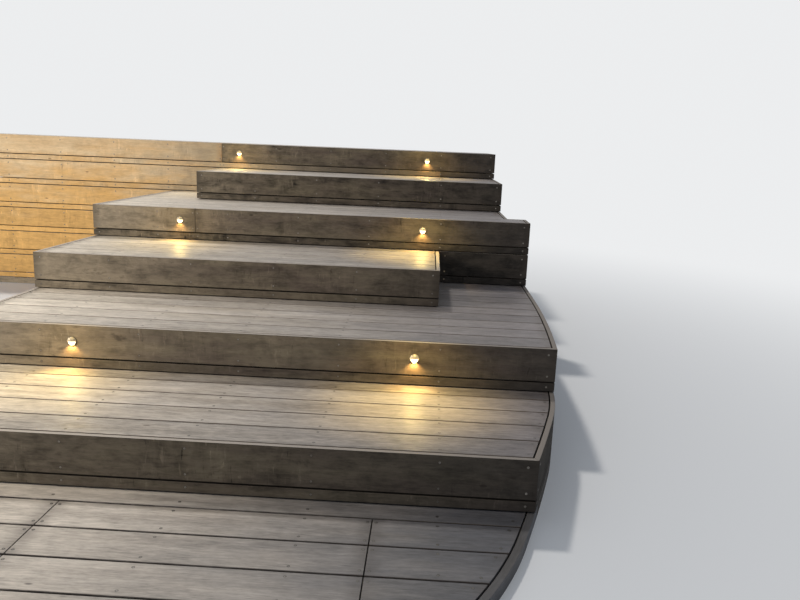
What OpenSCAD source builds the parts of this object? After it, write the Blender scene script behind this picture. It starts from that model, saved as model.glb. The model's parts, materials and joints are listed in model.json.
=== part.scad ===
/* [Steps] */
// Depth of each step, from riser face to riser face
going = 681; // [560:1:760]
// Width of the landings where the right side runs straight
stair_w = 2570; // [2400:5:3000]
// Width of the third step, a block that stands on the first landing
block_w = 2050; // [1500:5:2200]
// Distance of the fifth step from the left side
upper_block_x = 405; // [250:5:700]
// Width of the notch in the right side of the second landing
notch_w = 111; // [60:1:200]
// Depth of the second landing in front of the notch
notch_y_run = 222; // [150:1:400]

/* [Boards] */
// Width of a tread board
board_w = 137; // [90:1:160]
// Thickness of the tread boards
board_t = 19; // [19:1:32]
// Gap between neighbouring boards
board_gap = 5; // [3:0.5:8]
// Height of the wide board of a riser
fascia_w = 140; // [120:1:160]
// Height of the narrow strip under the wide board
strip_w = 36; // [25:1:50]
// Thickness of the riser and side boards
fascia_t = 19; // [16:1:25]
// Distance from the left side to the end joint in the fourth riser
riser_joint_x = 610; // [560:5:900]
// Gap at an end joint of the riser and tread boards
butt_gap = 2; // [1:0.5:4]

/* [Lower deck] */
// Width of a lower deck board
lower_board_w = 152; // [110:1:180]
// Gap between lower deck boards
lower_gap = 6; // [3:0.5:10]
// Visible width of the board that runs under the first riser
lower_first = 87; // [40:1:130]
// Number of whole boards in front of that board
lower_boards = 6; // [3:1:7]
// Height of the lower deck above the ground
base_h = 45; // [40:1:90]
// Thickness of the board bent round the edge of the lower deck
edge_board_t = 25; // [19:1:32]
// Distance from the left side to the first line of end joints
joint_x = 842; // [600:1:1000]
// Distance between the two lines of end joints
joint_run = 1007; // [800:1:1200]
// Gap at an end joint
joint_gap = 3; // [2:0.5:5]

/* [Upper deck] */
// Number of boards on the upper deck
top_boards = 6; // [3:1:8]
// Number of joist bays to the left of the stairs
deck_bays = 4; // [2:1:6]

/* [Curved side] */
// Radius of the side along the first landing
edge_back_r = 11500; // [9000:100:20000]
// Radius of the bend beside the first step
edge_bend_r = 1750; // [1500:10:3000]
// Radius of the side in front of the bend
edge_side_r = 11000; // [8000:100:20000]
// Radius of the rounded corner of the lower deck
edge_front_r = 1720; // [1500:10:3000]
// Length of the arc along the first landing
edge_back_run = 970; // [700:10:1200]
// Length of the bend
edge_bend_run = 281; // [200:1:350]
// Length of the flatter arc in front of the bend
edge_side_run = 550; // [400:10:700]

/* [Frame] */
// Thickness of a joist
joist_w = 45; // [35:1:50]
// Distance between joists
joist_pitch = 417; // [350:1:450]
// Distance from the left side to the first inner joist
joist_x = 386; // [250:1:420]
// Side of a square post
post_w = 90; // [75:1:125]
// Height of a bearer under the joists
bearer_h = 140; // [90:5:140]

/* [Lights] */
// Diameter of the metal rim of a light
light_rim_d = 44; // [40:1:60]
// Diameter of the bore for a light
light_bore_d = 34; // [24:1:38]
// How far the hood of a light stands out from its rim
hood_out = 10; // [5:0.5:14]
// Distance from the left side to the first light
light_x = 520; // [300:5:800]
// Distance between the two lights of a riser
light_run = 1430; // [1000:5:1500]

/* [Hidden] */
eps = 0.01;
over = 1;
edge_step = 45;
levels = 6;
riser_h = fascia_w + strip_w + 2 * board_gap;
pitch = board_w + board_gap;
lower_pitch = lower_board_w + lower_gap;
rear_x = stair_w - notch_w;
deck_x = joist_x - (deck_bays + 1) * joist_pitch - joist_w / 2 - board_gap - fascia_t;
lower_y = -lower_first - lower_gap - lower_boards * lower_pitch - edge_board_t;
top_y = riser_y(levels) + fascia_t + board_gap + top_boards * pitch + fascia_t;
notch_y = riser_y(4) + notch_y_run;
inner = fascia_t + board_gap;
tuck = 29;
sliver = 20;
bearer_w = 90;
bearer_lead = 40;
joist_bays = 8;
rim_t = 2;
light_depth = 60;
light_fit = 0.3;
light_wall = 1.2;
lens_d = light_bore_d - 2 * light_fit - 2 * light_wall;
hood_d = light_rim_d - 4 * light_wall;
hood_steps = 8;
pocket = 3;
lens_set = 0.5;
left_joint_x = joist_x;
right_joint_x = joist_x + 4 * joist_pitch;
deck_end = lower_board_w - lower_first;
bearer_2a = riser_y(3) - bearer_lead;
bearer_2b = back_y(2) - bearer_w;
bearer_4a = riser_y(5) - bearer_w;
bearer_4b = back_y(4) - 2 * bearer_w;
bearer_6a = back_y(4);
bearer_6b = top_y - fascia_t - bearer_w;
wood_tread = [0.55, 0.51, 0.46];
wood_riser = [0.36, 0.31, 0.26];
wood_skirt = [0.62, 0.50, 0.36];
wood_frame = [0.70, 0.62, 0.45];

// Height of the top of a level, where 0 is the lower deck
function level_z(k) = base_h + k * riser_h;
// Place of a riser's face
function riser_y(k) = (k - 1) * going;
// Left side of a level
function left_x(k) = k == 6 ? deck_x : k == 5 ? upper_block_x : 0;
// The riser under which the boards of a level end
function next_riser(k) = k == 1 ? 2 : k <= 3 ? 4 : 6;
// Where the boards and joists of a level end, under the next riser
function back_y(k) = k == 6 ? top_y - fascia_t : riser_y(next_riser(k)) + fascia_t + tuck;

// The curved side is a chain of arcs that share a tangent where they meet, from back to front
arc_r = [edge_back_r, edge_bend_r, edge_side_r, edge_front_r];
arc_y = [going + edge_back_run, going, going - edge_bend_run,
    going - edge_bend_run - edge_side_run];
arc_c0 = [stair_w - edge_back_r, arc_y[0]];
arc_c1 = next_centre(arc_c0, 1);
arc_c2 = next_centre(arc_c1, 2);
arc_c3 = next_centre(arc_c2, 3);
arc_c = [arc_c0, arc_c1, arc_c2, arc_c3];
// Point of an arc at a place along the stairs
function arc_point(c, r, y) = [c[0] + sqrt(r * r - pow(y - c[1], 2)), y];
// Centre of the next arc, on the line from the last centre to the meeting point
function next_centre(c, i) =
    let (p = arc_point(c, arc_r[i - 1], arc_y[i]))
    p + (c - p) * arc_r[i] / arc_r[i - 1];
// Which arc a place along the stairs lies on
function arc_at(y) = y >= arc_y[1] ? 0 : y >= arc_y[2] ? 1 : y >= arc_y[3] ? 2 : 3;
// The curved side, moved inwards by an inset
function edge_x(y, inset = 0) =
    y >= arc_y[0] ? stair_w - inset
    : let (i = arc_at(y)) arc_point(arc_c[i], arc_r[i] - inset, y)[0];
// Points along the curved side
function edge_run(y0, y1, inset = 0) =
    let (n = max(1, ceil((y1 - y0) / edge_step)))
    [for (j = [0 : n]) let (y = y0 + (y1 - y0) * j / n) [edge_x(y, inset), y]];
// Points along the right side of a level: the curve, the notch and the straight side behind it
function right_run(k, y0, y1, inset = 0) =
    k == 3 ? [[block_w - inset, y0], [block_w - inset, y1]]
    : k >= 5 || y0 >= notch_y - inset ? [[rear_x - inset, y0], [rear_x - inset, y1]]
    : y1 <= notch_y - inset ? edge_run(y0, y1, inset)
    : concat(edge_run(y0, notch_y - inset, inset),
        [[rear_x - inset, notch_y - inset], [rear_x - inset, y1]]);
function reverse(list) = [for (i = [len(list) - 1 : -1 : 0]) list[i]];
// Joists between the two sides of a level
function joists(x0, x1) =
    [for (i = [-deck_bays - 1 : joist_bays]) let (x = joist_x + i * joist_pitch)
        if (x - joist_w / 2 > x0 + inner + joist_w && x + joist_w / 2 < x1 - inner - joist_w) x];

// The model is drawn from the left side, the first riser and the ground, then moved
module placed() {
    translate([-(deck_x + stair_w) / 2, -(lower_y + top_y) / 2, 0]) children();
}
module slab(points, z0, z1) {
    translate([0, 0, z0]) linear_extrude(height = z1 - z0) polygon(points);
}
module block(x0, x1, y0, y1, z0, z1) {
    translate([x0, y0, z0]) cube([x1 - x0, y1 - y0, z1 - z0]);
}
// A course of cladding: a wide board over a narrow strip, with a gap under each
module course(points, k) {
    slab(points, level_z(k) - fascia_w, level_z(k));
    slab(points, level_z(k - 1) + board_gap, level_z(k - 1) + board_gap + strip_w);
}
// The tread boards of a level, cut to its right side
module tread_boards(k) {
    x0 = left_x(k) + inner;
    y0 = riser_y(k) + inner;
    y1 = k == 6 ? y0 + top_boards * pitch : back_y(k);
    n = ceil((y1 - y0 - sliver) / pitch);
    for (j = [0 : n - 1]) {
        ya = y0 + j * pitch;
        yb = min(ya + board_w, y1);
        slab(concat([[x0, ya]], right_run(k, ya, yb, inner), [[x0, yb]]),
            level_z(k) - board_t, level_z(k));
    }
}
// The outline of a riser, mitred to the side boards
function riser_plan(k, x0, x1_out, x1_in) =
    let (y = riser_y(k))
    [[x0, y], [x1_out, y], [x1_in, y + fascia_t], [x0 + fascia_t, y + fascia_t]];
function side_x(k, y, inset) = right_run(k, y, y + eps, inset)[0][0];
module riser(k) {
    y = riser_y(k);
    course(riser_plan(k, left_x(k), side_x(k, y, 0), side_x(k, y + fascia_t, fascia_t)), k);
}
// A riser with two bores for lights in its wide board
module lit_riser(k) {
    difference() {
        riser(k);
        for (x = [light_x, light_x + light_run])
            translate([x, riser_y(k) + fascia_t / 2, level_z(k) - fascia_w / 2])
                rotate([90, 0, 0])
                    cylinder(d = light_bore_d, h = fascia_t + 2 * over, center = true, $fn = 48);
    }
}
// End joints that part the wide board or the strip of a riser
module wide_joint(k, x) {
    block(x - butt_gap / 2, x + butt_gap / 2, riser_y(k) - over, riser_y(k) + fascia_t + over,
        level_z(k) - fascia_w - over, level_z(k) + over);
}
module strip_joint(k, x) {
    block(x - butt_gap / 2, x + butt_gap / 2, riser_y(k) - over, riser_y(k) + fascia_t + over,
        level_z(k - 1), level_z(k - 1) + board_gap + strip_w + over);
}
// The curved side boards of one course, mitred at the riser and at the notch
module curved_side(k, y) {
    course(concat(edge_run(y, notch_y),
        reverse(edge_run(y + fascia_t, notch_y - fascia_t, fascia_t))), k);
}
// Straight side boards from a mitred front end to a square back end
module left_side(k) {
    x = left_x(k);
    y = riser_y(k);
    course([[x, y], [x + fascia_t, y + fascia_t], [x + fascia_t, riser_y(6)],
        [x, riser_y(6)]], k);
}
// The frame of a level: joists, a straight rim at the left and a rim that follows the right side
module frame(k, joist_x1) {
    x0 = left_x(k) + fascia_t;
    y0 = riser_y(k) + fascia_t;
    z0 = level_z(k - 1);
    z1 = level_z(k) - board_t;
    block(x0, x0 + joist_w, y0, back_y(k), z0, z1);
    for (x = joists(left_x(k), joist_x1))
        block(x - joist_w / 2, x + joist_w / 2, y0, back_y(k), z0, z1);
    slab(concat(right_run(k, y0, back_y(k), fascia_t),
        reverse(right_run(k, y0, back_y(k), fascia_t + joist_w))), z0, z1);
}
module light_at(x, k) {
    translate([x, riser_y(k), level_z(k) - fascia_w / 2]) rotate([90, 0, 0]) children();
}
module each_light() {
    for (k = [2, 4, 6]) for (x = [light_x, light_x + light_run]) light_at(x, k) children();
}

// Boards of the lower deck: the first runs under the riser, the others have end joints in line
module lower_row(j) {
    x0 = edge_board_t + board_gap;
    ya = -lower_first - j * lower_pitch;
    yb = ya + lower_board_w;
    xa = joint_x;
    xb = joint_x + joint_run;
    split = edge_x(ya, x0) > xb + 2 * sliver;
    xr = j == 0 ? x0 : (split ? xb : xa) + joint_gap / 2;
    if (j > 0) block(x0, xa - joint_gap / 2, ya, yb, base_h - board_t, base_h);
    if (j > 0 && split)
        block(xa + joint_gap / 2, xb - joint_gap / 2, ya, yb, base_h - board_t, base_h);
    slab(concat([[xr, ya]], edge_run(ya, yb, x0), [[xr, yb]]), base_h - board_t, base_h);
}
module lower_deck_boards() {
    color(wood_tread) placed() for (j = [0 : lower_boards]) lower_row(j);
}
// The board bent round the corner of the lower deck, up to the back of its last board
module lower_deck_edge() {
    t = edge_board_t;
    color(wood_tread) placed()
        slab(concat(edge_run(lower_y, deck_end), reverse(edge_run(lower_y + t, deck_end, t))),
            0, base_h);
}
module lower_deck_front() {
    y = lower_y;
    t = edge_board_t;
    color(wood_tread) placed()
        slab([[0, y], [edge_x(y), y], [edge_x(y + t, t), y + t], [t, y + t]], 0, base_h);
}
module lower_deck_left() {
    t = edge_board_t;
    color(wood_tread) placed()
        slab([[0, lower_y], [t, lower_y + t], [t, deck_end], [0, deck_end]], 0, base_h);
}
// Battens under the lower deck: a wide one below each line of end joints, narrow ones in line with
// the joists between them, and wide ones behind the edge boards
module lower_deck_battens() {
    w = post_w;
    y0 = lower_y + edge_board_t;
    y1 = deck_end;
    joints = [joint_x, joint_x + joint_run];
    lines = [for (x = joists(0, edge_x(0))) if (min([for (j = joints) abs(x - j)]) > w) x];
    color(wood_frame) placed() {
        intersection() {
            union() {
                for (x = joints) block(x - w / 2, x + w / 2, y0, y1, 0, base_h - board_t);
                for (x = lines)
                    block(x - joist_w / 2, x + joist_w / 2, y0, y1, 0, base_h - board_t);
            }
            slab(concat([[0, y0]], edge_run(y0, y1, edge_board_t), [[0, y1]]), -over, base_h);
        }
        block(edge_board_t, edge_board_t + w, y0, y1, 0, base_h - board_t);
        slab(concat(edge_run(y0, y1, edge_board_t),
            reverse(edge_run(y0, y1, edge_board_t + w))), 0, base_h - board_t);
    }
}
module step_1_boards() { color(wood_tread) placed() tread_boards(1); }
module landing_2_boards() { color(wood_tread) placed() tread_boards(2); }
module step_3_boards() { color(wood_tread) placed() tread_boards(3); }
module landing_4_boards() { color(wood_tread) placed() tread_boards(4); }
module step_5_boards() {
    x = right_joint_x;
    color(wood_tread) placed() difference() {
        tread_boards(5);
        block(x - butt_gap / 2, x + butt_gap / 2, riser_y(5) + fascia_t, back_y(5) + over,
            level_z(5) - board_t - over, level_z(5) + over);
    }
}
module upper_deck_boards() { color(wood_tread) placed() tread_boards(6); }
module riser_1() { color(wood_riser) placed() riser(1); }
module riser_2() { color(wood_riser) placed() lit_riser(2); }
module riser_3() { color(wood_riser) placed() riser(3); }
module riser_4() {
    color(wood_riser) placed() difference() {
        lit_riser(4);
        wide_joint(4, riser_joint_x);
    }
}
module riser_5() { color(wood_riser) placed() riser(5); }
module riser_6() {
    color(wood_riser) placed() difference() {
        lit_riser(6);
        wide_joint(6, left_joint_x);
        strip_joint(6, right_joint_x);
    }
}
// The lower half of the tall riser beside the block step
module riser_4_lower() {
    y = riser_y(4);
    x0 = block_w + joint_gap;
    color(wood_riser) placed()
        course([[x0, y], [edge_x(y), y], [edge_x(y + fascia_t, fascia_t), y + fascia_t],
            [x0, y + fascia_t]], 3);
}
module right_side_1() { color(wood_riser) placed() curved_side(1, riser_y(1)); }
module right_side_2() { color(wood_riser) placed() curved_side(2, riser_y(2)); }
module right_side_3() { color(wood_riser) placed() curved_side(3, riser_y(4)); }
module right_side_4() { color(wood_riser) placed() curved_side(4, riser_y(4)); }
// The right side of the block step, which ends at the tall riser
module block_right_side() {
    x = block_w;
    y = riser_y(3);
    color(wood_riser) placed()
        course([[x, y], [x - fascia_t, y + fascia_t], [x - fascia_t, riser_y(4)],
            [x, riser_y(4)]], 3);
}
module left_side_1() { color(wood_riser) placed() left_side(1); }
module left_side_2() { color(wood_riser) placed() left_side(2); }
module left_side_3() { color(wood_riser) placed() left_side(3); }
module left_side_4() { color(wood_riser) placed() left_side(4); }
module block_left_side() { color(wood_riser) placed() left_side(5); }
// Skirt of the upper deck beside the stairs, below its top course
module skirt_plan(k, z0, z1) {
    y = riser_y(6);
    x1 = left_x(k) + fascia_t;
    slab([[deck_x, y], [x1, y], [x1, y + fascia_t], [deck_x + fascia_t, y + fascia_t]], z0, z1);
}
module deck_skirt_boards() {
    color(wood_skirt) placed()
        for (k = [1 : 5]) skirt_plan(k, level_z(k) - fascia_w, level_z(k));
}
module deck_skirt_strips() {
    color(wood_skirt) placed()
        for (k = [1 : 5]) skirt_plan(k, level_z(k - 1) + board_gap,
            level_z(k - 1) + board_gap + strip_w);
}
module deck_left_side() {
    x = deck_x;
    y = riser_y(6);
    t = fascia_t;
    color(wood_riser) placed()
        for (k = [1 : levels]) course([[x, y], [x + t, y + t], [x + t, top_y - t], [x, top_y]], k);
}
// Plain boards that close the notch in the right side
module notch_boards() {
    t = fascia_t;
    color(wood_riser) placed()
        for (k = [1 : 4]) course([[edge_x(notch_y), notch_y], [edge_x(notch_y - t, t), notch_y - t],
            [rear_x - t, notch_y - t], [rear_x, notch_y]], k);
}
// Plain boards on the straight right side behind the notch
module rear_side_boards() {
    t = fascia_t;
    color(wood_riser) placed() for (k = [1 : levels]) {
        y = k <= 4 ? notch_y : riser_y(k);
        ya = k <= 4 ? notch_y - t : riser_y(k) + t;
        course([[rear_x, y], [rear_x - t, ya], [rear_x - t, top_y - t], [rear_x, top_y]], k);
    }
}
module back_boards() {
    t = fascia_t;
    color(wood_riser) placed()
        for (k = [1 : levels]) course([[deck_x, top_y], [deck_x + t, top_y - t],
            [rear_x - t, top_y - t], [rear_x, top_y]], k);
}
// The lowest boards below the side boards, which stand on the ground
module base_boards() {
    t = fascia_t;
    g = joint_gap;
    y = riser_y(6);
    color(wood_riser) placed() {
        block(0, t, deck_end, y - g, 0, base_h);
        slab(concat(edge_run(deck_end, notch_y), reverse(edge_run(deck_end, notch_y, t))),
            0, base_h);
        block(rear_x - t, edge_x(notch_y) - t - g, notch_y - t, notch_y, 0, base_h);
        block(rear_x - t, rear_x, notch_y + g, top_y - t - g, 0, base_h);
        block(deck_x, rear_x, top_y - t, top_y, 0, base_h);
        block(deck_x, deck_x + t, y, top_y - t - g, 0, base_h);
        block(deck_x + t + g, t, y, y + t, 0, base_h);
    }
}
module step_1_frame() { color(wood_frame) placed() frame(1, edge_x(riser_y(1))); }
module landing_2_frame() { color(wood_frame) placed() frame(2, edge_x(riser_y(2))); }
module step_3_frame() { color(wood_frame) placed() frame(3, block_w); }
module landing_4_frame() { color(wood_frame) placed() frame(4, rear_x); }
module step_5_frame() { color(wood_frame) placed() frame(5, rear_x); }
module upper_deck_frame() { color(wood_frame) placed() frame(6, rear_x); }

// A bearer across the stairs under the joists of a level, cut square at the right side
module bearer(k, x0, y0) {
    x1 = k == 2 ? edge_x(y0, fascia_t) : rear_x - fascia_t;
    block(x0, x1, y0, y0 + bearer_w, level_z(k - 1) - bearer_h, level_z(k - 1));
}
module bearers() {
    x0 = fascia_t;
    color(wood_frame) placed() {
        block(x0, edge_x(back_y(1) - bearer_w, x0), back_y(1) - bearer_w, back_y(1), 0, base_h);
        for (y = [bearer_2a, bearer_2b]) bearer(2, x0, y);
        for (y = [bearer_4a, bearer_4b]) bearer(4, x0, y);
        bearer(6, x0, bearer_6a);
        bearer(6, deck_x + fascia_t, bearer_6b);
    }
}
// Three posts under a bearer, at its ends and its middle
module post_row(k, x0, x1, y) {
    z = level_z(k - 1) - bearer_h;
    for (x = [x0, (x0 + x1 - post_w) / 2, x1 - post_w])
        block(x, x + post_w, y, y + post_w, 0, z);
}
// A stud with its outer corner in a corner of the side boards
module stud(x0, y0, z0, z1) { block(x0, x0 + joist_w, y0, y0 + joist_w, z0, z1); }
module posts() {
    x0 = fascia_t;
    x1 = rear_x - fascia_t;
    y4 = riser_y(4) + fascia_t;
    y_notch = notch_y - fascia_t - joist_w;
    color(wood_frame) placed() {
        for (y = [bearer_2a, bearer_2b]) post_row(2, x0, edge_x(y, fascia_t), y);
        for (y = [bearer_4a, bearer_4b]) post_row(4, x0, x1, y);
        post_row(6, x0, x1, bearer_6a);
        post_row(6, deck_x + fascia_t, x1, bearer_6b);
        stud(x1 - joist_w, y_notch, 0, level_z(3));
        stud(stair_w - fascia_t - joist_w, y_notch, 0, level_z(3));
        stud(stair_w - fascia_t - joist_w, y4, level_z(2), level_z(3));
        stud((block_w + stair_w) / 2, y4, level_z(2), level_z(3));
        stud(block_w + joint_gap, y4, level_z(2), level_z(3));
        for (x = concat([deck_x + fascia_t + joist_w / 2], joists(deck_x, joist_x)))
            block(x - joist_w / 2, x + joist_w / 2, riser_y(6) + fascia_t,
                riser_y(6) + fascia_t + post_w, 0, level_z(5));
    }
}
// Points of an arc about the middle of a dome, from its foot to its top
function dome_run(r, drop) =
    [for (j = [0 : hood_steps]) let (a = acos(drop / r) * (1 - j / hood_steps))
        [r * sin(a), r * cos(a) - drop]];
// The hood of a light: a thin dome over the upper half of the rim, so that the light falls down
module hood() {
    r = (pow(hood_d / 2, 2) + pow(hood_out, 2)) / (2 * hood_out);
    drop = r - hood_out;
    difference() {
        rotate_extrude($fn = 48)
            polygon(concat(dome_run(r, drop), reverse(dome_run(r - light_wall, drop))));
        translate([-hood_d, -hood_d, -over]) cube([2 * hood_d, hood_d, hood_out + 2 * over]);
    }
}
// A light: a rim against the board, a body in the bore, a pocket for the lens and a hood
module light_bodies() {
    color("silver") placed() each_light() {
        difference() {
            union() {
                rotate_extrude($fn = 48) polygon([[0, 0], [light_rim_d / 2, 0],
                    [light_rim_d / 2, rim_t / 2], [(light_rim_d - rim_t) / 2, rim_t], [0, rim_t]]);
                translate([0, 0, -light_depth])
                    cylinder(d = light_bore_d - 2 * light_fit, h = light_depth, $fn = 48);
            }
            translate([0, 0, rim_t - pocket]) cylinder(d = lens_d, h = pocket + over, $fn = 48);
        }
        translate([0, 0, rim_t]) hood();
    }
}
module light_lenses() {
    color("lightyellow") placed() each_light()
        translate([0, 0, rim_t - pocket])
            cylinder(d = lens_d - 2 * light_fit, h = pocket - lens_set, $fn = 48);
}

lower_deck_boards();
lower_deck_edge();
lower_deck_front();
lower_deck_left();
lower_deck_battens();
step_1_boards();
landing_2_boards();
step_3_boards();
landing_4_boards();
step_5_boards();
upper_deck_boards();
riser_1();
riser_2();
riser_3();
riser_4();
riser_4_lower();
riser_5();
riser_6();
right_side_1();
right_side_2();
right_side_3();
right_side_4();
block_right_side();
left_side_1();
left_side_2();
left_side_3();
left_side_4();
block_left_side();
deck_skirt_boards();
deck_skirt_strips();
deck_left_side();
notch_boards();
rear_side_boards();
back_boards();
base_boards();
step_1_frame();
landing_2_frame();
step_3_frame();
landing_4_frame();
step_5_frame();
upper_deck_frame();
bearers();
posts();
light_bodies();
light_lenses();
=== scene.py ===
# %% [markdown]
# # Wooden deck stairs
# The stairs are all timber: a low front deck with a rounded corner, six risers, two landings, two
# block steps, and an upper deck that runs on to the left over a clad skirt.
# The packed model already holds every board at its real size and place. What is made here is the
# look of those boards: eased edges, grain that runs along each one, a tone of its own, weathering
# with some painted light and shade, and the screws and the lights.

# %% Load the packed model
import json
import math

import bpy
import numpy as np
from mathutils import Matrix, Vector

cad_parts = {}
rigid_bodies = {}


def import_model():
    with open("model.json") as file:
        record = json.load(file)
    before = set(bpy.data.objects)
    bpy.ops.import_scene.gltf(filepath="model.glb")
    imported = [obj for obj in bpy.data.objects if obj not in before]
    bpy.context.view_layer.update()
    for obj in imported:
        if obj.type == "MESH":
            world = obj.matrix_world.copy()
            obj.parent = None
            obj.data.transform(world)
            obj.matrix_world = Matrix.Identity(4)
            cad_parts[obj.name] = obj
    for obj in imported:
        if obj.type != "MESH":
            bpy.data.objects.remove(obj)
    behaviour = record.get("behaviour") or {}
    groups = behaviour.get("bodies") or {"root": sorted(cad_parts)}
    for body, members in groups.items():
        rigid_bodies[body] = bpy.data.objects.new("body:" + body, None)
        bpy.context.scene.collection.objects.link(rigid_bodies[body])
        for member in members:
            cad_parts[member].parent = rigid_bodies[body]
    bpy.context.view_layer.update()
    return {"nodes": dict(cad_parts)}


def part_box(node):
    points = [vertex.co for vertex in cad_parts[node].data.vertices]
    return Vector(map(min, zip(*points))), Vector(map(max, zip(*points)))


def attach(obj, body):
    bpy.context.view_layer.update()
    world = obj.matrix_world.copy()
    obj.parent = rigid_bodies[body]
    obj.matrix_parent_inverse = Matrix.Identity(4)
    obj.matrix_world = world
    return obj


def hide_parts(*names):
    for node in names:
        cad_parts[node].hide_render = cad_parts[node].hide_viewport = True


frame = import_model()
rng = np.random.default_rng(26)

# %% [markdown]
# ## Camera
# The view is from in front of the lower right corner, looking slightly down. The place, the turn and
# the focal length come from the board lines of all the treads and risers. A camera's matrix has its
# right, up and backward directions as columns, so the three turns are written out as vectors instead
# of as Euler angles, which are easy to mix up.

# %% Set up the camera
def placed(name, data):
    """An object with its data, put into the scene."""
    made = bpy.data.objects.new(name, data)
    bpy.context.collection.objects.link(made)
    return made


FOCAL_PX = 730.25
PICTURE_PX = 800
SENSOR_MM = 36.0
CAMERA_AT = (1.5669, -3.8183, 1.2031)
TURN_LEFT = 0.0341
LOOK_DOWN = 0.2093
ROLL = 0.0414


def camera_axes(turn, down, roll):
    """Right, up and backward directions of a camera that turns left, tips down and then rolls."""
    level = math.cos(down)
    ahead = np.array([-math.sin(turn) * level, math.cos(turn) * level, -math.sin(down)])
    right = np.array([math.cos(turn), math.sin(turn), 0.0])
    up = np.cross(right, ahead)
    rolled_right = math.cos(roll) * right + math.sin(roll) * up
    rolled_up = math.cos(roll) * up - math.sin(roll) * right
    return rolled_right, rolled_up, -ahead


camera_data = bpy.data.cameras.new("camera")
camera_data.sensor_width = SENSOR_MM
camera_data.lens = FOCAL_PX * SENSOR_MM / PICTURE_PX
camera = placed("camera", camera_data)
camera_matrix = np.eye(4)
camera_matrix[:3, :3] = np.column_stack(camera_axes(TURN_LEFT, LOOK_DOWN, ROLL))
camera_matrix[:3, 3] = CAMERA_AT
camera.matrix_world = Matrix(camera_matrix.tolist())
bpy.context.scene.camera = camera
print("camera lens", round(camera_data.lens, 2), "mm")

# %% [markdown]
# ## Sizes from the model
# The lines that everything is set out from are read from the packed model: the height of each
# level, the face of each riser, and the left and right sides. Only board widths, gaps and the places
# of end joints, which no box shows, are written here.

# %% Read the main lines
BOARD_W = 0.137
BOARD_T = 0.019
GAP = 0.005
BUTT_GAP = 0.002
FASCIA_W = 0.140
STRIP_W = 0.036
INNER = BOARD_T + GAP
TREADS = {1: "step_1_boards", 2: "landing_2_boards", 3: "step_3_boards", 4: "landing_4_boards",
          5: "step_5_boards", 6: "upper_deck_boards"}


def low(node, axis):
    """Lowest coordinate of a node along an axis, 0 to 2."""
    return float(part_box(node)[0][axis])


def high(node, axis):
    """Highest coordinate of a node along an axis, 0 to 2."""
    return float(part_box(node)[1][axis])


LEVEL_Z = [high("lower_deck_boards", 2)] + [high(TREADS[k], 2) for k in range(1, 7)]
RISER_Y = [None] + [low("riser_%d" % k, 1) for k in range(1, 7)]
LEFT = low("left_side_1", 0)
DECK_LEFT = low("riser_6", 0)
STRAIGHT_X = high("right_side_3", 0)
REAR_X = high("riser_5", 0)
BLOCK_LEFT = low("riser_5", 0)
BLOCK_RIGHT = high("riser_3", 0)
NOTCH_Y = high("right_side_4", 1)
FRONT_Y = low("lower_deck_front", 1)
BACK_Y = high("back_boards", 1)
LEFT_SIDE = {5: BLOCK_LEFT, 6: DECK_LEFT}
FIRST_JOIST = 0.386
JOIST_RUN = 0.417
SHORT_BOARD = 0.610
JOIST_X = LEFT + FIRST_JOIST
RISER_4_JOINT = LEFT + SHORT_BOARD
FAR_JOINT = JOIST_X + 4 * JOIST_RUN
print("levels", [round(z, 3) for z in LEVEL_Z], "risers", [round(y, 3) for y in RISER_Y[1:]])

# %% [markdown]
# ## The curved side
# The right side is a chain of four arcs that share a tangent where they meet, so the bent boards
# run on without a kink. Each arc's centre lies on the line from the last centre through the
# meeting point. A board behind the face follows the same arcs with smaller radii.

# %% Lay out the curved side
ARC_R = np.array([11.5, 1.75, 11.0, 1.72])
ARC_Y = RISER_Y[2] + np.array([0.97, 0.0, -0.281, -0.831])
RUN_STEP = 0.02
NEARBY = 0.001


def arc_centres():
    """Centres of the arcs from back to front: c' = p + (c - p) r' / r at each meeting point p."""
    centre = np.array([STRAIGHT_X - ARC_R[0], ARC_Y[0]])
    centres = [centre]
    for before, after, y in zip(ARC_R[:-1], ARC_R[1:], ARC_Y[1:]):
        meet = np.array([centre[0] + math.sqrt(before ** 2 - (y - centre[1]) ** 2), y])
        centre = meet + (centre - meet) * after / before
        centres.append(centre)
    return np.array(centres)


ARC_C = arc_centres()


def side_x(y, inset=0.0):
    """x of the curved side at each y, drawn inwards by inset: c + sqrt((r - inset)^2 - (y - c)^2)."""
    y = np.asarray(y, float)
    which = np.sum(y[..., None] < ARC_Y[1:], axis=-1)
    reach = (ARC_R[which] - inset) ** 2 - (y - ARC_C[which, 1]) ** 2
    bent = ARC_C[which, 0] + np.sqrt(np.maximum(reach, 0.0))
    return np.where(y >= ARC_Y[0], STRAIGHT_X - inset, bent)


def side_run(y0, y1, inset=0.0):
    """Points along the curved side from y0 to y1, about RUN_STEP apart."""
    y = np.linspace(y0, y1, max(2, int(math.ceil((y1 - y0) / RUN_STEP)) + 1))
    return np.column_stack([side_x(y, inset), y])


def right_run(level, y0, y1, inset=0.0):
    """Points along the right side of a level, with the notch of the second landing."""
    if level == 3:
        return np.array([[BLOCK_RIGHT - inset, y0], [BLOCK_RIGHT - inset, y1]])
    if level >= 5 or y0 >= NOTCH_Y - inset:
        return np.array([[REAR_X - inset, y0], [REAR_X - inset, y1]])
    if y1 <= NOTCH_Y - inset:
        return side_run(y0, y1, inset)
    behind = np.array([[REAR_X - inset, NOTCH_Y - inset], [REAR_X - inset, y1]])
    return np.vstack([side_run(y0, NOTCH_Y - inset, inset), behind])


def right_end(level, y, inset=0.0):
    """x of the right side of a level at one place along the stairs."""
    return float(right_run(level, y, y + NEARBY, inset)[0, 0])


print("curve off by", round(abs(side_x(RISER_Y[1]) - high("riser_1", 0)) * 1000, 3), "mm at riser 1")

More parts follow.
